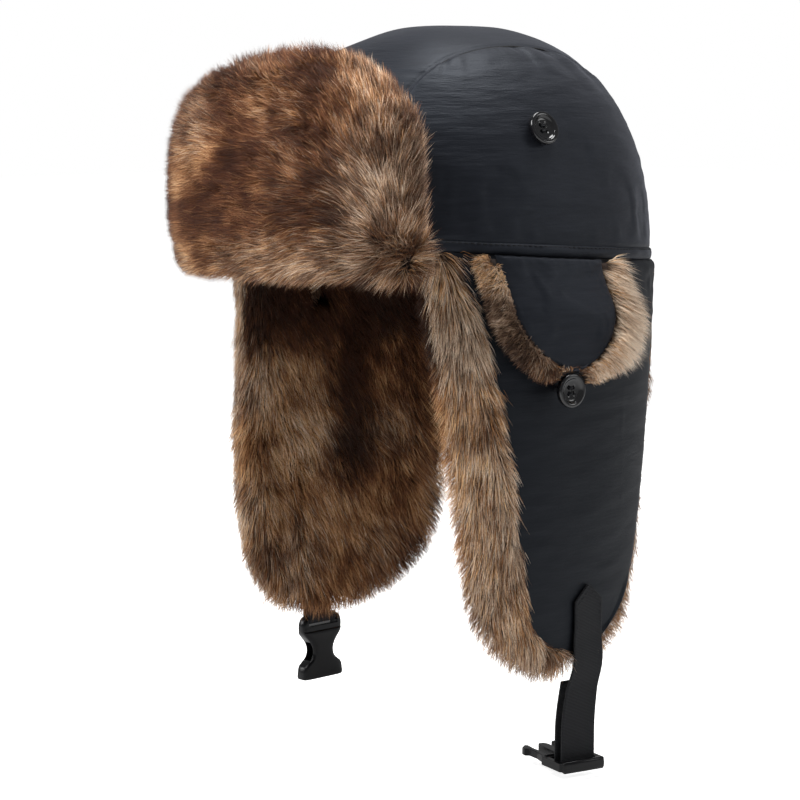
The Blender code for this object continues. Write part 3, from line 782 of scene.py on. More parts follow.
def hair_tone(spots, tags, shade):
    """The u coordinate of each hair's colour: dark to pale, in the reddish or the greyish half."""
    point = spots["point"]
    count = len(point)
    patches = 0.55 * noise(point, 26 * MM, 11) + 0.55 * noise(point, 10 * MM, 12)
    darker, greyer = shade(spots)
    tone = 0.46 + 0.28 * patches + 0.62 * (tags - 0.5) + darker + RNG.normal(0, 0.17, count)
    grey_share = 0.5 + 0.7 * noise(point, 34 * MM, 19) + greyer
    grey = RNG.random(count) < grey_share
    return 0.5 * np.clip(tone, 0.03, 0.97) + 0.5 * grey


def hair_mesh(name, root, start, end, length, width, tone):
    """Tapered three-sided hairs that leave along start and lean over towards end."""
    count = len(root)
    first = root - start * (0.8 * MM)
    bent = root + start * (length * 0.46)[:, None]
    tip = bent + unit(mix(start, end, 0.75)) * (length * 0.54)[:, None]
    helper = RNG.normal(size=(count, 3))
    across = unit(np.cross(start, helper))
    other = unit(np.cross(start, across))
    sides = []
    for centre, fat in ((first, 0.8), (bent, 1.0)):
        for k in range(3):
            turn = 2 * math.pi * k / 3
            swing = across * math.cos(turn) + other * math.sin(turn)
            sides.append(centre + swing * (width * fat / 2)[:, None])
    points = np.stack(sides + [tip], 1).astype(np.float32)
    pattern = []
    for k in range(3):
        after = (k + 1) % 3
        pattern += [(k, after, after + 3), (k, after + 3, k + 3), (k + 3, after + 3, 6)]
    pattern.append((2, 1, 0))
    pattern = np.array(pattern)
    faces = (pattern[None] + 7 * np.arange(count)[:, None, None]).reshape(-1, 3)
    mesh = bpy.data.meshes.new(name)
    mesh.vertices.add(count * 7)
    mesh.vertices.foreach_set("co", points.ravel())
    mesh.loops.add(faces.size)
    mesh.loops.foreach_set("vertex_index", faces.ravel().astype(np.int32))
    mesh.polygons.add(len(faces))
    mesh.polygons.foreach_set("loop_start", np.arange(0, faces.size, 3, dtype=np.int32))
    mesh.polygons.foreach_set("use_smooth", np.ones(len(faces), bool))
    spread = 0.003
    u_of = np.array([-1, 0, 1, -1, 0, 1, 0]) * spread
    v_of = np.array([0.02, 0.02, 0.02, 0.46, 0.46, 0.46, 0.98])
    layer = mesh.uv_layers.new(name="OFBake")
    u = tone[:, None] + u_of[pattern.ravel()][None, :]
    v = np.broadcast_to(v_of[pattern.ravel()], u.shape)
    layer.data.foreach_set("uv", np.stack([u, v], -1).ravel().astype(np.float32))
    mesh.update()
    mesh.materials.append(HAIR)
    obj = bpy.data.objects.new(name, mesh)
    bpy.context.scene.collection.objects.link(obj)
    return obj


HAIRS_PER_PIECE = 19000


def even_shade(spots):
    """How much darker and how much greyer than usual the fur is at each spot: not at all."""
    return 0.0, 0.0


def grow(
    name, pelt, count, comb, length, attach, density,
    shade=even_shade, width=0.26 * MM, clumps=(2.8, 9), wild=0.16,
):
    """Grows hairs over a pelt in pieces. Comb gives (along arc, along depth, lift) at each spot."""
    spots = pelt.sample(count, density)
    fine, fine_tag = clump_pull(spots, clumps[0] * MM, 3)
    coarse, coarse_tag = clump_pull(spots, clumps[1] * MM, 8)
    by_arc, by_depth, lift = comb(spots)
    lay = spots["t_arc"] * by_arc[:, None] + spots["t_depth"] * by_depth[:, None]
    sway = np.stack([noise(spots["point"], 16 * MM, 30 + k) for k in range(3)], 1)
    lay = lay + 0.35 * sway
    lay = lay - spots["normal"] * (lay * spots["normal"]).sum(1, keepdims=True)
    jitter = RNG.normal(0, wild, (count, 3))
    start = unit(spots["normal"] * lift[:, None] + lay * 0.9 + jitter)
    reach = length(spots) * RNG.uniform(0.72, 1.12, count)
    droop = np.array([0, 0, -0.25])
    pull = 0.62 * fine + 0.25 * coarse
    end = unit(
        spots["normal"] * (0.30 * lift)[:, None] + lay + droop + pull / (reach * 0.5)[:, None] + 0.6 * jitter
    )
    tone = hair_tone(spots, 0.65 * fine_tag + 0.35 * coarse_tag, shade)
    fat = width * RNG.uniform(0.6, 1.25, count)
    for part, begin in enumerate(range(0, count, HAIRS_PER_PIECE)):
        some = slice(begin, begin + HAIRS_PER_PIECE)
        piece = hair_mesh(
            f"{name}_{part + 1}", spots["point"][some], start[some], end[some],
            reach[some], fat[some], tone[some],
        )
        attach(piece)


def pelt_piece(name, pelt, attach, replaced):
    piece = new_piece(name, pelt.points, pelt.faces.tolist(), PELT)
    attach(piece)
    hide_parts(*replaced)
    return piece


# ---------------------------------------------------------------- crown


def side_panel_grid(side, columns=76, rows=30):
    corner = seam_corner()
    angle = np.linspace(-corner, corner, columns) * 0.998
    seam = SEAM_X / CROWN_PLAN.point(angle)[:, 0]
    share = np.linspace(0, 1, rows)[:, None]
    start = crown_scale_at(BAND_HEIGHT * 0.55)
    seam = np.minimum(seam, start - 0.0005)
    power = CROWN_PROFILE_POWER
    low = math.asin(min(1, (1 - start**power) ** (1 / power)))
    high = np.arcsin((1 - seam**power) ** (1 / power))
    rise = low + (high - low)[None, :] * share
    scale = (1 - np.sin(rise) ** power) ** (1 / power)
    grid = crown_surface(np.broadcast_to(angle, scale.shape), scale)
    grid[..., 0] *= side
    return grid


def seam_corner():
    """The polar angle at which the crown's rim is as wide as the seam."""
    low, high = 0.0, math.pi / 2
    for _ in range(50):
        middle = (low + high) / 2
        if CROWN_PLAN.point(np.array([middle]))[0, 0] > SEAM_X:
            low = middle
        else:
            high = middle
    return low


def crown_scale_at(height):
    return (1 - (height / CROWN_HEIGHT) ** CROWN_PROFILE_POWER) ** (1 / CROWN_PROFILE_POWER)


def even(points, count):
    """Resamples a line of points into equal steps."""
    travelled = np.concatenate([[0], np.cumsum(np.linalg.norm(np.diff(points, axis=0), axis=1))])
    wanted = np.linspace(0, travelled[-1], count)
    return np.stack([np.interp(wanted, travelled, points[:, k]) for k in range(3)], -1)


def centre_panel_grid(columns=110, rows=34):
    start = crown_scale_at(BAND_HEIGHT * 0.55)
    lines = []
    for x in np.linspace(-SEAM_X, SEAM_X, rows):
        room = start**CROWN_PLAN_POWER - abs(x / CROWN_HALF_WIDTH) ** CROWN_PLAN_POWER
        farthest = CROWN_HALF_LENGTH * room ** (1 / CROWN_PLAN_POWER)
        y = farthest * np.sin(np.linspace(-math.pi / 2, math.pi / 2, 400))
        angle = np.arctan2(y, x)
        scale = np.hypot(x, y) / np.linalg.norm(CROWN_PLAN.point(angle), axis=-1)
        lines.append(even(crown_surface(angle, scale), columns))
    return np.array(lines)


def seam_dip(grid, depth, width):
    """Draws the edges of a panel in, where it is sewn to its neighbour."""
    rows, columns = grid.shape[:2]
    normals = grid_normals(grid)
    if (normals * unit(grid)).sum() < 0:
        normals = -normals
    across = np.minimum(np.arange(rows), np.arange(rows)[::-1])[:, None] / width
    along = np.minimum(np.arange(columns), np.arange(columns)[::-1])[None, :] / width
    nearest = np.minimum(across, along)
    dip = depth * (1 - np.sqrt(1 - (1 - np.clip(nearest, 0, 1)) ** 2))
    return grid - normals * dip[..., None]


def rim_mask(grid):
    mask = np.zeros(grid.shape[:2], bool)
    mask[[0, -1], :] = True
    mask[:, [0, -1]] = True
    return mask


def gather(grid, amount, seed, fade=13 * MM):
    """Small puckers that run down from the last row of a grid, where its cloth is gathered in a seam."""
    steps = np.linalg.norm(np.diff(grid[-1], axis=0), axis=1)
    travelled = np.concatenate([[0], np.cumsum(steps)])
    line = np.stack([travelled, 0 * travelled, 0 * travelled], -1)
    waves = noise(line, 11 * MM, seed) + 0.35 * noise(line, 5 * MM, seed + 1)
    from_seam = np.linalg.norm(grid - grid[-1:], axis=-1)
    push = amount * waves[None, :] * np.exp(-from_seam / fade) * smooth(from_seam / (3 * MM))
    return grid + grid_normals(grid) * push[..., None]


def build_crown():
    grid = centre_panel_grid()
    grid = settle_cloth("centre_panel_sheet", grid, 0.005, 2.0, calm=30)
    grid = seam_dip(crinkle(refine(grid), 0.34 * MM, 41), width=1.5, depth=1.0 * MM)
    centre = closed_cloth("centre_panel", grid, CLOTH_THICKNESS, NYLON, np.array([0, 0, 1.0]))
    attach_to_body(centre, "crown")
    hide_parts("crown_centre_panel", "crown_padding")
    for name, side in (("left", 1), ("right", -1)):
        grid = side_panel_grid(side)
        grid = settle_cloth("side_panel_sheet", grid, 0.006, 2.0)
        grid = gather(crinkle(refine(grid), 0.36 * MM, 43 + side), 1.5 * MM, 47 + side)
        grid = seam_dip(grid, width=1.2, depth=1.0 * MM)
        seam = even(grid[-1], 220)
        seam += unit(seam - np.array([0, 0, 20 * MM])) * 0.15 * MM
        across = np.cross(np.gradient(seam, axis=0), unit(seam - np.array([0, 0, 20 * MM])))
        # A thin near-black tube in each seam's groove: a painted shadow line along the seam.
        cord = ribbon(
            f"seam_shadow_line_{name}", seam, unit(across), np.full(220, 0.5 * MM), 0.6 * MM, SEAM_SHADOW_FINISH
        )
        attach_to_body(cord, "crown")
        outward = np.array([side, 0, 0.5])
        panel = closed_cloth(f"side_panel_{name}", grid, CLOTH_THICKNESS, NYLON, outward)
        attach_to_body(panel, "crown")
        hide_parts(f"crown_side_panel_{name}")
    build_band()


def ring_grid(offsets_heights, around=240):
    """A closed ring of cloth round the crown from (offset, height) pairs of its cross-section."""
    angle = np.linspace(0, 2 * math.pi, around, endpoint=False)
    rows = []
    for offset, height in offsets_heights:
        points = CROWN_PLAN.point(angle) + CROWN_PLAN.normal(angle) * offset
        points[:, 2] = height
        rows.append(follow_rim(points))
    return np.array(rows)


def ring_piece(name, section, finish, around=240, ripple=0.0):
    """A closed hoop with the given cross-section, slightly rippled."""
    grid = ring_grid(section, around)
    rows = len(section)
    if ripple:
        flat = grid.reshape(-1, 3)
        push = ripple * noise(flat, (9 * MM, 9 * MM, 6 * MM), 77)
        out = unit(flat * np.array([1, 1, 0]))
        grid = (flat + out * push[:, None]).reshape(grid.shape)
    faces = []
    for r in range(rows):
        for k in range(around):
            a, b = r * around + k, r * around + (k + 1) % around
            c, d = ((r + 1) % rows) * around + (k + 1) % around, ((r + 1) % rows) * around + k
            faces.append((a, b, c, d))
    return new_piece(name, grid, faces, finish)


def build_band():
    """The bottom seam: a folded tape with a row of stitches along its upper edge."""
    out = 0.7 * MM
    section = [
        (-0.2 * MM, 0.0), (0.4 * MM, -0.4 * MM), (out, 0.4 * MM), (out + 0.4 * MM, 1.6 * MM),
        (out + 0.5 * MM, 3.0 * MM), (out + 0.2 * MM, 4.4 * MM), (out - 0.5 * MM, 5.3 * MM),
        (-0.3 * MM, 5.6 * MM), (-1.2 * MM, 5.4 * MM), (-1.2 * MM, 0.4 * MM),
    ]
    band = ring_piece("band", section, LIT_NYLON_BAND, 300, 0.4 * MM)
    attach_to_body(band, "crown")
    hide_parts("crown_band")
    angle = np.linspace(0, 2 * math.pi, 400)
    normals = CROWN_PLAN.normal(angle)
    path = CROWN_PLAN.point(angle) + normals * 0.75 * MM
    path[:, 2] = 4.75 * MM
    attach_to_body(stitch_row("band_stitches", follow_rim(path), normals, THREAD), "crown")
    inner = -1.0 * MM - 0.8 * MM - 4.6 * MM - 0.8 * MM
    build_lining(inner)
    section = [
        (inner - 1.4 * MM, 0.4 * MM), (inner - 1.4 * MM, 15 * MM), (inner - 1.6 * MM, 30 * MM),
        (inner - 2.6 * MM, 30.6 * MM), (inner - 3.6 * MM, 29.6 * MM), (inner - 3.8 * MM, 15 * MM),
        (inner - 3.6 * MM, 1.0 * MM), (inner - 2.6 * MM, 0.0),
    ]
    sweatband = ring_piece("sweatband_cloth", section, LINING, 200, 0.3 * MM)
    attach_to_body(sweatband, "crown")
    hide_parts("sweatband")


def build_lining(outer):
    """The quilted lining dome inside the crown."""
    rows, around = 40, 120
    angle = np.linspace(0, 2 * math.pi, around, endpoint=False)
    start = crown_scale_at(0.6 * MM)
    rise = np.linspace(0.0, math.pi / 2 * 0.985, rows)
    power = CROWN_PROFILE_POWER
    level = np.cos(rise)
    scale = start * (level**power / (level**power + np.sin(rise) ** power)) ** (1 / power)
    shells = []
    for extra in (0.0, -0.9 * MM):
        grid = crown_surface(
            np.broadcast_to(angle, (rows, around)),
            np.broadcast_to(scale[:, None], (rows, around)),
            outer + extra,
        )
        quilt = np.abs(np.sin(angle * 6)) ** 0.5
        grid = grid * (1 - 0.012 * (1 - quilt)[None, :, None])
        shells.append(grid.reshape(-1, 3))
    tops = [shell[-around:].mean(0) for shell in shells]
    points = np.concatenate([shells[0], shells[1], tops])
    faces = []
    count = rows * around
    for r in range(rows - 1):
        for k in range(around):
            a, b = r * around + k, r * around + (k + 1) % around
            faces.append((a, b, b + around, a + around))
            faces.append((a + count, a + around + count, b + around + count, b + count))
    for k in range(around):
        b = (k + 1) % around
        faces.append((k, k + count, b + count, b))
        top = (rows - 1) * around
        faces.append((top + k, top + b, 2 * count))
        faces.append((top + b + count, top + k + count, 2 * count + 1))
    lining = new_piece("lining_dome", points, faces, LINING)
    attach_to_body(lining, "crown")
    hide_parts("crown_lining")


# ---------------------------------------------------------------- flaps


def sheet_grid(wall, tongue, offset, rows, columns):
    depths = tongue.depths(*rows)
    first, last = tongue.edges(depths)
    last = np.maximum(last, first + 0.4 * MM)
    across = np.linspace(0, 1, columns)
    arc = first[:, None] + (last - first)[:, None] * across
    depth = np.repeat(depths[:, None], columns, 1)
    return wall(arc, depth, offset(arc, depth)), arc, depth


def bend_onto():
    return lambda obj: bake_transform(obj)


def arcs(*degrees):
    return tuple(arc_of(CROWN_PLAN, angle) for angle in degrees)


EAR_NYLON = Tongue(EAR_FLAP_LENGTH, arcs(-43, 46), arcs(-19, 21), (28 * MM, EAR_FLAP_CORNER), (0.6, 1.7))
# The fur lining of each ear flap: the left one hangs twisted back a little, the right one spreads.
EAR_LININGS = {
    "left": Tongue(202 * MM, arcs(-47.5, 46.2), arcs(-31.5, 24), (43 * MM, 46 * MM), (1.0, 1.7)),
    "right": Tongue(199 * MM, arcs(-48, 46.2), arcs(-36, 36), (58 * MM, 46 * MM), (1.4, 2.2)),
}
# How far the front edge of each lining rolls outwards, from which depth on and over what distance.
EAR_ROLLS = {"left": (6.5 * MM, -20 * MM, 80 * MM), "right": (5 * MM, 25 * MM, 100 * MM)}


def bare_under_nylon(nylon, margin=1.5 * MM, top=2.5 * MM):
    """A density of hair that leaves out what the nylon covers, and the seam at the top."""

    def density(m):
        hidden = (m["side"] > 0.5) & (nylon.inside(m["arc"], m["depth"]) > margin)
        return np.where(hidden | (m["depth"] < top), 0.0, 1.0)

    return density


def ear_hole_distance(points):
    return np.hypot(points[..., 1] - EAR_HOLE_CENTRE[0], points[..., 2] - EAR_HOLE_CENTRE[1])


def bore_ear_hole(piece, side):
    start = np.array([side * 0.5 * CROWN_HALF_WIDTH, *EAR_HOLE_CENTRE])
    return bore(piece, [rod(start, (side, 0, 0), EAR_HOLE_RADIUS, CROWN_HALF_WIDTH, 48)])


def build_ear_flap(name, side):
    attach = bend_onto()
    wall = hanging_wall(0, side)
    nylon = EAR_NYLON
    grid, _, _ = sheet_grid(wall, nylon, lambda a, d: np.full(a.shape, SHELL_OUT), (46, 14), 44)
    grid = settle_cloth("ear_flap_sheet", grid, 0.006, 2.0)
    grid = seam_dip(crinkle(refine(grid), 0.26 * MM, 50 + side), width=4, depth=1.6 * MM)
    shell = closed_cloth(
        f"flap_nylon_{name}", grid, CLOTH_THICKNESS, SHADED_NYLON_FLAP, np.array([side, 0, 0])
    )
    attach(bore_ear_hole(shell, side))
    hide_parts(f"ear_flap_shell_{name}", f"ear_flap_wadding_{name}")
    lining = EAR_LININGS[name]
    roll_out, roll_from, roll_over = EAR_ROLLS[name]

    def roll(arc, depth):
        low, high = nylon.edges(depth)
        front = smooth((low - arc + 6 * MM) / (9 * MM)) * smooth((depth - roll_from) / roll_over)
        rest = smooth((np.maximum(arc - high, depth - nylon.length) + 2 * MM) / (7 * MM))
        return np.maximum(roll_out * front, 3.2 * MM * rest)

    pelt = Pelt(wall, lining, -11.5 * MM, -1.8 * MM, roll=roll)
    pelt_piece(
        f"flap_pelt_{name}", pelt, lambda obj: attach(bore_ear_hole(obj, side)), [f"ear_flap_fur_{name}"]
    )
    middle = sum(lining.top) / 2

    def comb(s):
        sideways = np.clip((s["arc"] - middle) / (60 * MM), -1, 1)
        near_edge = smooth((s["edge"] - 0.62) / 0.38)
        outer = s["side"] > 0
        front = s["arc"] < middle
        beyond = -nylon.inside(s["arc"], s["depth"])
        over = smooth((9 * MM - beyond) / (8 * MM))
        across = mix(0.55, -0.1, smooth(s["depth"] / (170 * MM)))
        outer_arc = np.where(front, mix(-0.15, across, over), 0.15 * near_edge)
        by_arc = np.where(outer, outer_arc, np.sign(sideways) * near_edge * 0.75 + 0.12 * sideways)
        inner_lift = mix(1.0, 0.6, near_edge)
        return by_arc, np.where(outer, 1.0, mix(0.62, 0.9, near_edge)), np.where(outer, 0.48, inner_lift)

    under = bare_under_nylon(nylon)

    def density(m):
        by_strap = (m["side"] > 0) & (np.abs(m["point"][:, 1] - 2 * MM) < 12 * MM) & (m["depth"] > 180 * MM)
        in_hole = ear_hole_distance(m["point"]) < EAR_HOLE_RADIUS + np.where(m["side"] > 0, 1, -12) * MM
        return np.where(by_strap | in_hole, 0.0, under(m))

    def length(s):
        return np.where(s["side"] > 0.3, 13.5, 14.5) * MM

    # The inner face gets painted shade: darkest at the top, where the front flap shades it, and along the
    # cupped valley down its middle, less towards the back. It is also darker towards the bottom, and the
    # outer face is a little lighter.
    def shade(s):
        inner = s["side"] < 0.2
        upper = smooth((66 * MM - s["depth"]) / (34 * MM))
        valley_shade = np.exp(-(((s["arc"] - 10 * MM) / (20 * MM)) ** 2))
        valley_shade = valley_shade * smooth((150 * MM - s["depth"]) / (40 * MM))
        back = smooth(s["arc"] / (50 * MM))
        dark = np.maximum(np.maximum(0.80 * upper, 0.80 * valley_shade), 0.26 * back)
        low = 0.14 * smooth((s["depth"] - 130 * MM) / (50 * MM))
        return np.where(inner, 0.16 - dark - low, 0.18), np.where(inner, -0.36, -0.02)

    grow(f"flap_hair_{name}", pelt, 54000, comb, length, attach, density, shade)


def build_neck_flap():
    attach = bend_onto()
    wall = hanging_wall(90)
    top = arc_of(CROWN_PLAN, 41)
    tip = arc_of(CROWN_PLAN, 31)
    nylon = Tongue(NECK_FLAP_LENGTH, (-top, top), (-tip, tip), (22 * MM,) * 2)
    grid, _, _ = sheet_grid(wall, nylon, lambda a, d: np.full(a.shape, SHELL_OUT), (20, 10), 50)
    grid = settle_cloth("neck_flap_sheet", grid, 0.006, 2.0)
    grid = seam_dip(crinkle(refine(grid), 0.26 * MM, 61), width=4, depth=1.6 * MM)
    shell = closed_cloth("neck_nylon", grid, CLOTH_THICKNESS, SHADED_NYLON_FLAP, np.array([0, 1, 0]))
    attach(shell)
    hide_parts("neck_flap_shell", "neck_flap_wadding")
    border = 5 * MM
    lining = Tongue(
        NECK_FLAP_LENGTH + border, (-top, top), (-tip - border, tip + border), (27 * MM,) * 2
    )

    def roll(arc, depth):
        return 2.5 * MM * smooth((2 * MM - nylon.inside(arc, depth)) / (6 * MM))

    pelt = Pelt(wall, lining, -11.5 * MM, -1.8 * MM, rows=(14, 12), roll=roll)
    pelt_piece("neck_pelt", pelt, attach, ["neck_flap_fur"])

    def comb(s):
        near_edge = smooth((s["edge"] - 0.7) / 0.3)
        return np.sign(s["arc"]) * near_edge * 0.5, np.ones(len(s["arc"])), np.full(len(s["arc"]), 0.5)

    def length(s):
        return np.full(len(s["arc"]), 13 * MM)

    grow("neck_hair", pelt, 20000, comb, length, attach, bare_under_nylon(nylon))


SWIRL = np.array([72, 1]) * MM  # where the front flap's hairs part, by arc length and height


def build_front_flap():
    def attach(obj):
        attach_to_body(obj, "front_flap")

    wall = leaning_front_wall
    half = arc_of(FRONT_PLAN, FRONT_FLAP_HALF_ANGLE)
    corners = (FRONT_FLAP_CORNER + 10 * MM, FRONT_FLAP_CORNER - 4 * MM)
    nylon = Tongue(FRONT_FLAP_HEIGHT, (-half, half - MM), (-half, half - 3 * MM), corners)
    grid, _, _ = sheet_grid(wall, nylon, lambda a, d: np.full(a.shape, -0.3 * MM), (24, 14), 56)
    grid = crinkle(refine(grid), 0.2 * MM, 83)
    shell = closed_cloth("front_nylon", grid, -CLOTH_THICKNESS, NYLON, np.array([0, -1, 0]))
    attach(shell)
    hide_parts("front_flap_shell", "front_flap_interlining")
    lining = Tongue(
        FRONT_FLAP_HEIGHT + 7 * MM, (-half - 5 * MM, half + 4 * MM), (-half + 3 * MM, half),
        (FRONT_FLAP_CORNER + 27 * MM, FRONT_FLAP_CORNER), start=-4 * MM,
    )

    def roll(arc, depth):
        return -2.5 * MM * smooth((2 * MM - nylon.inside(arc, depth)) / (8 * MM))

    pelt = Pelt(wall, lining, 3.5 * MM, 12.5 * MM, rows=(24, 18), columns=64, round_top=True, roll=roll)
    pelt_piece("front_pelt", pelt, attach, ["front_flap_fur"])

    def comb(s):
        away = np.stack([s["arc"], s["depth"]], 1) - SWIRL
        distance = np.linalg.norm(away, axis=1)
        near = smooth((s["arc"] - 30 * MM) / (30 * MM))
        low = smooth((24 * MM - s["depth"]) / (20 * MM))
        combed = np.maximum(near, 0.8 * low)
        lay = unit(away) * (mix(0.15, 1.0, smooth(distance / (26 * MM))) * mix(0.55, 1.0, combed))[:, None]
        return lay[:, 0], lay[:, 1], mix(1.15, 0.55, combed)

    def density(m):
        hidden = (m["side"] < -0.5) & (nylon.inside(m["arc"], m["depth"]) > 2 * MM)
        return np.where(hidden, 0.0, 1.0)

    def shade(s):
        near = smooth((s["arc"] - 42 * MM) / (20 * MM))
        low = smooth((20 * MM - s["depth"]) / (16 * MM))
        near = near * (1 - 0.3 * smooth((s["depth"] - 55 * MM) / (30 * MM)))
        patch = smooth(1.25 - np.hypot(s["arc"] + 32 * MM, 0.85 * (s["depth"] - 58 * MM)) / (27 * MM))
        fringe = low * (1 + 0.4 * smooth((-20 * MM - s["arc"]) / (20 * MM)))
        # Crease: a band of painted shade along a crease line on the left half.
        crease = np.exp(-(((s["depth"] - 38 * MM - 0.2 * s["arc"]) / (6 * MM)) ** 2)) * (s["arc"] < 0)
        far_edge = smooth((-45 * MM - s["arc"]) / (14 * MM))
        light = np.maximum(np.maximum(0.24 * near, 0.27 * fringe), 0.42 * patch)
        return -0.31 + light - 0.16 * crease - 0.30 * far_edge, -0.42 + 0.65 * np.maximum(near, 0.6 * low)

    def length(s):
        high = smooth((s["depth"] - 55 * MM) / (35 * MM))
        far = smooth((-30 * MM - s["arc"]) / (30 * MM))
        return (13.0 - 2.2 * high - 2.4 * far) * MM

    grow("front_hair", pelt, 86000, comb, length, attach, density, shade, width=0.24 * MM)


def cover_wall(side):
    hang = hanging_wall(COVER_CENTRE_ANGLE, side)

    def place(arc, depth, offset):
        lift = 1 + 0.5 * arc / (COVER_HALF_WIDTH + 20 * MM)
        bulge = COVER_BULGE * smooth(depth / (30 * MM)) * lift
        return hang(arc, depth, COVER_TOP_OFFSET + bulge + offset)

    return place


def build_ear_cover(name, side):
    attach = bend_onto()
    wall = cover_wall(side)
    half = COVER_HALF_WIDTH
    nylon = Tongue(COVER_LENGTH, (-half - 7 * MM, half + 2 * MM), (-0.74 * half, 0.9 * half), (27 * MM,) * 2)
    grid, _, _ = sheet_grid(wall, nylon, lambda a, d: np.full(a.shape, CLOTH_THICKNESS), (20, 14), 34)
    grid = settle_cloth("ear_cover_sheet", grid, 0.004, 1.5, reach=1.5 * MM)
    grid = seam_dip(crinkle(refine(grid), 0.16 * MM, 70 + side), width=5, depth=1.2 * MM)
    shell = closed_cloth(
        f"cover_nylon_{name}", grid, CLOTH_THICKNESS, NYLON, np.array([side, 0, 0])
    )
    attach(shell)
    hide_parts(f"ear_cover_shell_{name}")
    lining = Tongue(
        COVER_LENGTH + 7 * MM, (-half - 17 * MM, half + 13 * MM), (-half - 2 * MM, half + 7 * MM),
        (34 * MM,) * 2, start=2 * MM,
    )

    def roll(arc, depth):
        return mix(-1.4, 2.2, smooth((2.5 * MM - nylon.inside(arc, depth)) / (6 * MM))) * MM

    button, facing, _ = button_axes(f"ear_flap_button_{name}")
    pelt = Pelt(wall, lining, -3.4 * MM, -0.5 * MM, rows=(16, 14), columns=44, roll=roll)

    def attach_pelt(obj):
        attach(bore(obj, [rod(button - facing * 14 * MM, facing, BUTTON_CLEARANCE, 30 * MM, 32)]))

    pelt_piece(f"cover_pelt_{name}", pelt, attach_pelt, [f"ear_cover_fur_{name}"])

    def from_button(points):
        away = points - button
        away = away - (away @ facing)[:, None] * facing
        return np.linalg.norm(away, axis=1), unit(away)

    def comb(s):
        back = smooth(s["arc"] / (20 * MM))
        away_arc = np.clip(s["arc"] / (30 * MM), -1.0, 1.1)
        down = 0.35 + 0.5 * np.maximum(smooth((s["depth"] - 30 * MM) / (25 * MM)), back)
        distance, away = from_button(s["point"])
        close = smooth((16 * MM - distance) / (7 * MM)) * 1.6
        away_arc = away_arc + close * (away * s["t_arc"]).sum(1)
        down = down + close * (away * s["t_depth"]).sum(1)
        return away_arc, down, mix(0.55, 0.34, back)

    def density(m):
        inside = nylon.inside(m["arc"], m["depth"])
        distance, _ = from_button(m["point"])
        seam = (m["depth"] < 5 * MM) & (inside > -3 * MM)
        bare = ((m["side"] > 0.5) & (inside > 0.8 * MM)) | (distance < BUTTON_CLEARANCE) | seam
        return np.where(bare, 0.0, np.where(m["side"] < -0.5, 0.4, 1.0))

    def length(s):
        distance, _ = from_button(s["point"])
        back = smooth((s["arc"] - 4 * MM) / (14 * MM)) * smooth((58 * MM - s["depth"]) / (18 * MM))
        full = mix(5.5, 16, back) * MM
        return full * mix(0.6, 1.0, smooth((distance - BUTTON_CLEARANCE) / (10 * MM)))

    def shade(s):
        back = smooth(s["arc"] / (18 * MM))
        front_top = (1 - back) * smooth((22 * MM - s["depth"]) / (12 * MM))
        return -0.16 + 0.56 * back + 0.36 * front_top, 0.30 + 0.3 * back - 0.5 * front_top

    grow(
        f"cover_hair_{name}", pelt, 17000, comb, length, attach, density, shade,
        width=0.24 * MM, clumps=(2.4, 7), wild=0.24,
    )


# ---------------------------------------------------------------- buttons, webbing and buckles


STRAP_X = 100.1 * MM
STRAP_HALF_WIDTH = 10 * MM
BUTTON_RADIUS = 8.5 * MM
BUTTON_HEIGHT = 3.4 * MM
BUTTON_CLEARANCE = 10 * MM
HOLE_RADIUS = 0.95 * MM
HOLE_SPREAD = 1.9 * MM


def button_axes(node):
    """The middle of a packed button's back, the way it faces, and its own frame."""
    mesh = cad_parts[node].data
    points = np.empty(len(mesh.vertices) * 3, np.float32)
    mesh.vertices.foreach_get("co", points)
    points = points.reshape(-1, 3).astype(float)
    middle = (points.min(0) + points.max(0)) / 2
    _, _, axes = np.linalg.svd(points - points.mean(0), full_matrices=False)
    facing = axes[2] * np.sign(axes[2][0] * middle[0])
    back = ((points - middle) @ facing).min()
    middle = middle + facing * back
    turn = Vector(facing).to_track_quat("Z", "Y").to_matrix().to_4x4()
    return middle, facing, Matrix.Translation(Vector(middle)) @ turn


def lathe_points(profile, segments):
    turns = np.linspace(0, 2 * math.pi, segments, endpoint=False)
    rings = [[(r * math.cos(t), r * math.sin(t), z) for t in turns] for r, z in profile]
    return np.array(rings)


def lathe_piece(name, profile, finish, segments=64):
    """A closed body of revolution from (radius, height) pairs, shut by a face at each end."""
    points = lathe_points(profile, segments)
    faces = []
    for ring in range(len(profile) - 1):
        for k in range(segments):
            a, b = ring * segments + k, ring * segments + (k + 1) % segments
            faces.append((a, b, b + segments, a + segments))
    last = (len(profile) - 1) * segments
    faces.append(tuple(range(segments - 1, -1, -1)))
    faces.append(tuple(range(last, last + segments)))
    return new_piece(name, points, faces, finish)


def rounded(start, end, corner, steps=5):
    """Points of a quarter turn from start to end round a corner."""
    out = []
    for k in range(steps + 1):
        t = k / steps
        out.append(
            tuple((1 - t) ** 2 * a + 2 * t * (1 - t) * c + t * t * b for a, c, b in zip(start, corner, end))
        )
    return out


def bore(obj, tools):
    """Cuts the tools out of an object for good."""
    for tool in tools:
        cut = obj.modifiers.new("cut", "BOOLEAN")
        cut.operation = "DIFFERENCE"
        cut.solver = "EXACT"
        cut.object = tool
    evaluated = obj.evaluated_get(bpy.context.evaluated_depsgraph_get())
    mesh = bpy.data.meshes.new_from_object(evaluated)
    obj.modifiers.clear()
    obj.data = mesh
    for tool in tools:
        bpy.data.objects.remove(tool)
    return obj


def rod(start, direction, radius, length, sides):
    """A round bar from start along a direction, for cutting holes."""
    points = lathe_points([(radius, 0.0), (radius, length)], sides)
    faces = [(k, (k + 1) % sides, sides + (k + 1) % sides, sides + k) for k in range(sides)]
    faces += [tuple(range(sides - 1, -1, -1)), tuple(range(sides, 2 * sides))]
    bar = new_piece("rod", points, faces, PELT)
    turn = Vector(direction).to_track_quat("Z", "Y").to_matrix().to_4x4()
    bar.data.transform(Matrix.Translation(Vector(start)) @ turn)
    return bar


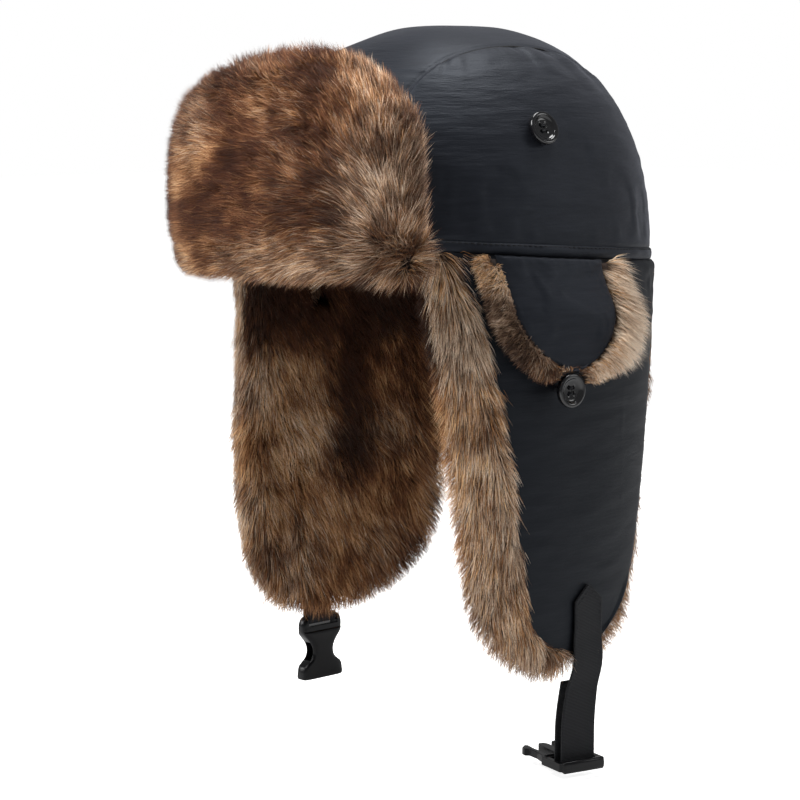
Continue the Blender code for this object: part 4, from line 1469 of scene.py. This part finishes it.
def thread_loop(name, start, end, rise, radius, finish, steps=9, sides=8):
    """A loop of thread that arches from one hole of a button to another."""
    start, end = np.array(start), np.array(end)
    share = np.linspace(0, 1, steps)
    middle = start + (end - start) * share[:, None]
    middle[:, 2] += rise * np.sqrt(np.sin(math.pi * share))
    ahead = unit(np.gradient(middle, axis=0))
    across = unit(np.cross(ahead, [0, 0, 1.0]))
    up = np.cross(across, ahead)
    turns = np.linspace(0, 2 * math.pi, sides, endpoint=False)
    rings = [
        middle + across * (math.cos(t) * radius) + up * (math.sin(t) * radius) for t in turns
    ]
    points = np.stack(rings, 1)
    faces = []
    for r in range(steps - 1):
        for k in range(sides):
            a, b = r * sides + k, r * sides + (k + 1) % sides
            faces.append((a, b, b + sides, a + sides))
    faces += [tuple(range(sides - 1, -1, -1)), tuple(range((steps - 1) * sides, steps * sides))]
    return new_piece(name, points, faces, finish)


def build_button(node, label, body):
    """A dished button with a rolled rim, four holes and its sewing thread."""
    radius, height = BUTTON_RADIUS, BUTTON_HEIGHT
    floor = height - 1.5 * MM
    profile = [(0.80 * radius, 0.0)]
    profile += rounded((0.88 * radius, 0.0), (radius, 0.5 * height), (radius, 0.0))
    profile += rounded((radius, 0.6 * height), (0.88 * radius, height), (radius, height))
    profile += rounded((0.86 * radius, height), (0.70 * radius, height - 0.7 * MM), (0.74 * radius, height))
    profile += rounded((0.66 * radius, height - 1.0 * MM), (0.46 * radius, floor), (0.60 * radius, floor))
    profile += [(0.3 * radius, floor - 0.1 * MM), (0.12 * radius, floor - 0.15 * MM)]
    _, _, place = button_axes(node)
    disc = lathe_piece(f"button_{label}", profile, PLASTIC)
    tools = []
    spots = []
    for k in range(4):
        swing = math.pi / 4 + k * math.pi / 2
        spot = (HOLE_SPREAD * math.cos(swing), HOLE_SPREAD * math.sin(swing))
        spots.append(spot)
        tools.append(rod((*spot, -MM), (0, 0, 1), HOLE_RADIUS, 3 * height, 20))
    bore(disc, tools)
    disc.data.transform(place)
    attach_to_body(disc, body)
    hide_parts(node)
    for k, (first, second) in enumerate(((0, 1), (3, 2))):
        for shift in (-0.38, 0.0, 0.38):
            start = (spots[first][0], spots[first][1] + shift * MM, floor - 0.8 * MM)
            end = (spots[second][0], spots[second][1] + shift * MM, floor - 0.8 * MM)
            number = int(round((shift + 0.38) / 0.38))
            loop = thread_loop(f"button_thread_{label}_{k}{number}", start, end, 1.25 * MM, 0.22 * MM, THREAD)
            loop.data.transform(place)
            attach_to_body(loop, body)


def ribbon(name, centres, across, half_widths, thickness, finish):
    """A woven ribbon with round selvedges along a line. Across runs along its width."""
    half = thickness / 2
    ahead = unit(np.gradient(centres, axis=0))
    up = unit(np.cross(across, ahead))
    profile = [(-1, 0), (-0.985, 0.62), (-0.95, 0.95), (-0.88, 1.0), (-0.8, 0.86), (0, 0.86), (0.8, 0.86)]
    profile += [(0.88, 1.0), (0.95, 0.95), (0.985, 0.62)]
    profile += [(-x, -y) for x, y in profile]
    sides = len(profile)
    rings = [centres + across * (x * half_widths)[:, None] + up * (y * half) for x, y in profile]
    points = np.stack(rings, 1)
    faces = []
    for row in range(len(centres) - 1):
        for k in range(sides):
            a, b = row * sides + k, row * sides + (k + 1) % sides
            faces.append((a, b, b + sides, a + sides))
    last = (len(centres) - 1) * sides
    faces += [tuple(range(sides - 1, -1, -1)), tuple(range(last, last + sides))]
    return new_piece(name, points, faces, finish)


def build_strap(name, side, top, bar, radius, tail, yaw, shift, bulge):
    """Webbing from its stitched end on the ear flap, round its buckle's bar and back up behind."""
    down = np.concatenate([top - np.linspace(0, 8, 9) * MM, np.linspace(top - 10 * MM, bar, 44)])
    swing = np.linspace(0, math.pi, 15)[1:]
    away = np.concatenate([0 * down, radius * (np.cos(swing) - 1)])
    height = np.concatenate([down, bar - radius * np.sin(swing)])
    rest = np.linspace(0, tail, max(3, int(tail / (2 * MM))))[1:]
    away = np.concatenate([away, -2 * radius + 0.8 * MM * rest / tail])
    height = np.concatenate([height, bar + rest])
    away[: len(down)] += bulge * np.sin(math.pi * np.clip((-190 * MM - down) / (30 * MM), 0, 1)) ** 2
    turned = smooth((-182 * MM - height) / (58 * MM))
    swerve = np.radians(yaw) * turned + (0 if side > 0 else math.pi)
    sideways = shift * (1 - turned)
    out = np.stack([np.cos(swerve), np.sin(swerve), 0 * swerve], 1)
    across = np.stack([-np.sin(swerve), np.cos(swerve), 0 * swerve], 1)
    centres = np.array([side * STRAP_X, 0, 0]) + out * away[:, None] + across * sideways[:, None]
    centres[:, 2] = height
    widths = np.minimum(0.6 * MM + (top - height) * 1.2, STRAP_HALF_WIDTH)
    strap = ribbon(f"strap_{name}_ribbon", centres, across, widths, 1.4 * MM, WEBBING)
    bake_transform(strap)
    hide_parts(f"strap_anchor_{name}", f"strap_{name}")
    inset = STRAP_HALF_WIDTH - 1.8 * MM
    shoulder = top / MM - 9.5
    corners = [(inset, -188), (inset, shoulder), (0, top / MM - 2.4), (-inset, shoulder), (-inset, -188)]
    path = np.array([(side * (STRAP_X + 0.62 * MM), shift + y, z * MM) for y, z in corners])
    normals = np.tile([side, 0.0, 0.0], (60, 1))
    stitches = stitch_row(f"strap_stitches_{name}", even(path, 60), normals, THREAD, width=0.4 * MM)
    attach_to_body(stitches, f"{name}_ear_flap")


def buckle_frame(side, yaw, bar, radius):
    turn = Matrix.Rotation(math.radians(yaw) + (0 if side > 0 else math.pi), 4, "Z")
    return Matrix.Translation((side * STRAP_X, 0, bar)) @ turn @ Matrix.Translation((-radius, 0, 0))


def block(low, high):
    """A box between two corners, for cutting."""
    (x0, y0, z0), (x1, y1, z1) = np.array(low) * MM, np.array(high) * MM
    points = [(x, y, z) for z in (z0, z1) for x, y in ((x0, y0), (x1, y0), (x1, y1), (x0, y1))]
    faces = [(3, 2, 1, 0), (4, 5, 6, 7), (0, 1, 5, 4), (1, 2, 6, 5), (2, 3, 7, 6), (3, 0, 4, 7)]
    return new_piece("block", np.array(points), faces, BUCKLE_PLASTIC)


def soften(obj, width, angle=35):
    bevel = obj.modifiers.new("bevel", "BEVEL")
    bevel.width = width
    bevel.segments = 3
    bevel.limit_method = "ANGLE"
    bevel.angle_limit = math.radians(angle)


# The socket's outline: height below its bar, half width and half thickness, in millimetres.
SOCKET_ROWS = [
    (1.6, 10.4, 1.6), (1.4, 11.4, 2.3), (0.6, 12.6, 2.9), (-1, 13.5, 3.2), (-3, 14.1, 3.3), (-5, 14.2, 3.3),
    (-6.6, 14.0, 3.3), (-7.2, 13.8, 4.0), (-8.6, 13.2, 4.2), (-10.4, 11.7, 4.3), (-12.2, 10.0, 4.3),
    (-14, 8.7, 4.3), (-16, 7.7, 4.3), (-18, 7.3, 4.3), (-20, 7.4, 4.3), (-21.8, 8.0, 4.3), (-23.4, 9.3, 4.3),
    (-24.8, 11.2, 4.3), (-26.2, 13.0, 4.3), (-27.8, 13.9, 4.3), (-30, 14.3, 4.3), (-32.6, 14.6, 4.3),
    (-33.6, 14.4, 4.1), (-34, 13.9, 3.7),
]


def build_socket():
    turns = np.linspace(0, 2 * math.pi, 48, endpoint=False)
    c, s = np.cos(turns), np.sin(turns)
    ring_y = np.sign(c) * np.abs(c) ** 0.35
    ring_x = np.sign(s) * np.abs(s) ** 0.35
    rings = [np.stack([t * ring_x, w * ring_y, 0 * c + z], -1) for z, w, t in SOCKET_ROWS]
    points = np.array(rings) * MM
    rows, sides = points.shape[:2]
    faces = []
    for row in range(rows - 1):
        for k in range(sides):
            a, b = row * sides + k, row * sides + (k + 1) % sides
            faces.append((a, b, b + sides, a + sides))
    faces += [tuple(range(sides - 1, -1, -1)), tuple(range((rows - 1) * sides, rows * sides))]
    body = new_piece("socket_body", points, faces, BUCKLE_PLASTIC)
    tools = [
        block((-9, -10.6, -3.9), (9, 10.6, -1)),
        block((1.2, -10.3, -3), (9, 10.3, 9)),
        block((-9, -10.3, -3), (-1.2, 10.3, 9)),
        block((-2.5, -9.4, -40), (2.5, 9.4, -9)),
    ]
    bore(body, tools)
    body.data.transform(buckle_frame(-1, 0, -213 * MM, 2.35 * MM))
    soften(body, 0.35 * MM)
    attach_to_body(body, "socket")
    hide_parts("buckle_socket")


def build_plug_grip():
    """Two raised bars for the fingers, one at the plug's outer end and one at its inner end."""
    place = buckle_frame(1, -13, -256 * MM, 2.95 * MM)
    for label, x, half, thick in (("outer", 8.0, 1.6, 3.1), ("inner", -8.6, 1.3, 2.9)):
        reach = 12.4
        rings = []
        for y, share in ((-1, 0.55), (-0.97, 0.85), (-0.92, 1), (0.92, 1), (0.97, 0.85), (1, 0.55)):
            turns = np.linspace(0, 2 * math.pi, 24, endpoint=False)
            c, s = np.cos(turns), np.sin(turns)
            ring_x = x + half * share * np.sign(c) * np.abs(c) ** 0.6
            ring_z = thick * share * np.sign(s) * np.abs(s) ** 0.6
            rings.append(np.stack([ring_x, 0 * c + y * reach, ring_z], -1))
        points = np.array(rings) * MM
        faces = []
        for row in range(5):
            for k in range(24):
                a, b = row * 24 + k, row * 24 + (k + 1) % 24
                faces.append((a, b, b + 24, a + 24))
        faces += [tuple(range(23, -1, -1)), tuple(range(120, 144))]
        bar = new_piece(f"plug_grip_{label}", points, faces, BUCKLE_PLASTIC)
        bar.data.transform(place)
        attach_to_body(bar, "plug")


def tidy_hardware():
    """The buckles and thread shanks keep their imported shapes, with softened edges and real finishes."""
    for name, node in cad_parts.items():
        if "thread" in name:
            finish = THREAD
        elif "buckle" in name:
            finish = BUCKLE_PLASTIC
        elif "strap" in name:
            finish = WEBBING
        else:
            continue
        node.data.materials.clear()
        node.data.materials.append(finish)
        if "buckle" in name:
            weld = node.modifiers.new("weld", "WELD")
            weld.merge_threshold = 0.00001
            soften(node, 0.8 * MM if "plug" in name else 0.5 * MM, 38)


# ---------------------------------------------------------------- stage


def area_light(name, place, target, size, power):
    light = bpy.data.lights.new(name, "AREA")
    light.shape = "DISK"
    light.size = size
    light.energy = power
    obj = bpy.data.objects.new(name, light)
    obj.location = place
    obj.rotation_euler = (Vector(target) - Vector(place)).to_track_quat("-Z", "Y").to_euler()
    bpy.context.scene.collection.objects.link(obj)


def build_stage():
    low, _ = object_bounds()
    reach = 6.0
    floor_z = low[2] - 4 * MM
    mesh = bpy.data.meshes.new("floor")
    corners = [(x * reach, y * reach, floor_z) for x, y in ((-1, -1), (1, -1), (1, 1), (-1, 1))]
    mesh.from_pydata(corners, [], [(0, 1, 2, 3)])
    finish = Finish("studio_floor", 0.9, (0.9, 0.9, 0.9))
    finish.shader.inputs["Emission Color"].default_value = (1, 1, 1, 1)
    seen = finish.node("ShaderNodeLightPath")
    glow = finish.node("ShaderNodeMath", operation="MULTIPLY")
    glow.inputs[1].default_value = 0.8
    finish.link(seen.outputs["Is Camera Ray"], glow.inputs[0])
    finish.link(glow.outputs["Value"], finish.shader.inputs["Emission Strength"])
    mesh.materials.append(finish.material)
    floor = bpy.data.objects.new("floor", mesh)
    bpy.context.scene.collection.objects.link(floor)
    world = bpy.data.worlds.new("studio")
    world.use_nodes = True
    nodes, links = world.node_tree.nodes, world.node_tree.links
    background = nodes["Background"]
    path = nodes.new("ShaderNodeLightPath")
    strength = nodes.new("ShaderNodeMapRange")
    strength.inputs["To Min"].default_value = 0.31
    strength.inputs["To Max"].default_value = 1.0
    links.new(path.outputs["Is Camera Ray"], strength.inputs["Value"])
    links.new(strength.outputs["Result"], background.inputs["Strength"])
    background.inputs["Color"].default_value = (1, 1, 1, 1)
    bpy.context.scene.world = world
    centre = (0, 0, -0.03)
    area_light("key", (-0.1, -0.8, 0.9), centre, 0.6, 16)
    area_light("top", (0.1, 0.25, 1.2), centre, 0.7, 15.5)
    area_light("left_fill", (-1.0, -0.9, 0.25), centre, 0.5, 5)
    area_light("rear_rim", (1.1, 0.8, 0.35), centre, 0.5, 2.4)
    scene = bpy.context.scene
    scene.view_settings.view_transform = "Standard"
    scene.view_settings.look = "None"


def build_camera():
    azimuth, elevation = math.radians(47), math.radians(7.6)
    target = Vector((-14.6, -15.8, -80.5)) * MM
    away = Vector(
        (
            math.sin(azimuth) * math.cos(elevation),
            -math.cos(azimuth) * math.cos(elevation),
            math.sin(elevation),
        )
    )
    data = bpy.data.cameras.new("camera")
    data.sensor_width = 36
    data.lens = 111.15
    data.clip_end = 50
    camera = bpy.data.objects.new("camera", data)
    camera.location = target + away * 1.3
    camera.rotation_euler = (-away).to_track_quat("-Z", "Y").to_euler()
    bpy.context.scene.collection.objects.link(camera)
    bpy.context.scene.camera = camera


build_crown()
build_front_flap()
build_neck_flap()
for flap_name, flap_side in (("left", 1), ("right", -1)):
    build_ear_flap(flap_name, flap_side)
    build_ear_cover(flap_name, flap_side)
for button_side in ("left", "right"):
    build_button(f"crown_button_{button_side}", f"crown_{button_side}", "crown")
    build_button(f"ear_flap_button_{button_side}", f"ear_{button_side}", f"{button_side}_ear_flap")
build_strap("left", 1, -165 * MM, -256 * MM, 2.95 * MM, 42 * MM, -13, 7 * MM, 2 * MM)
build_strap("right", -1, -174 * MM, -213 * MM, 2.35 * MM, 3 * MM, 0, 0.0, 0.0)
build_socket()
build_plug_grip()
tidy_hardware()
build_stage()
build_camera()
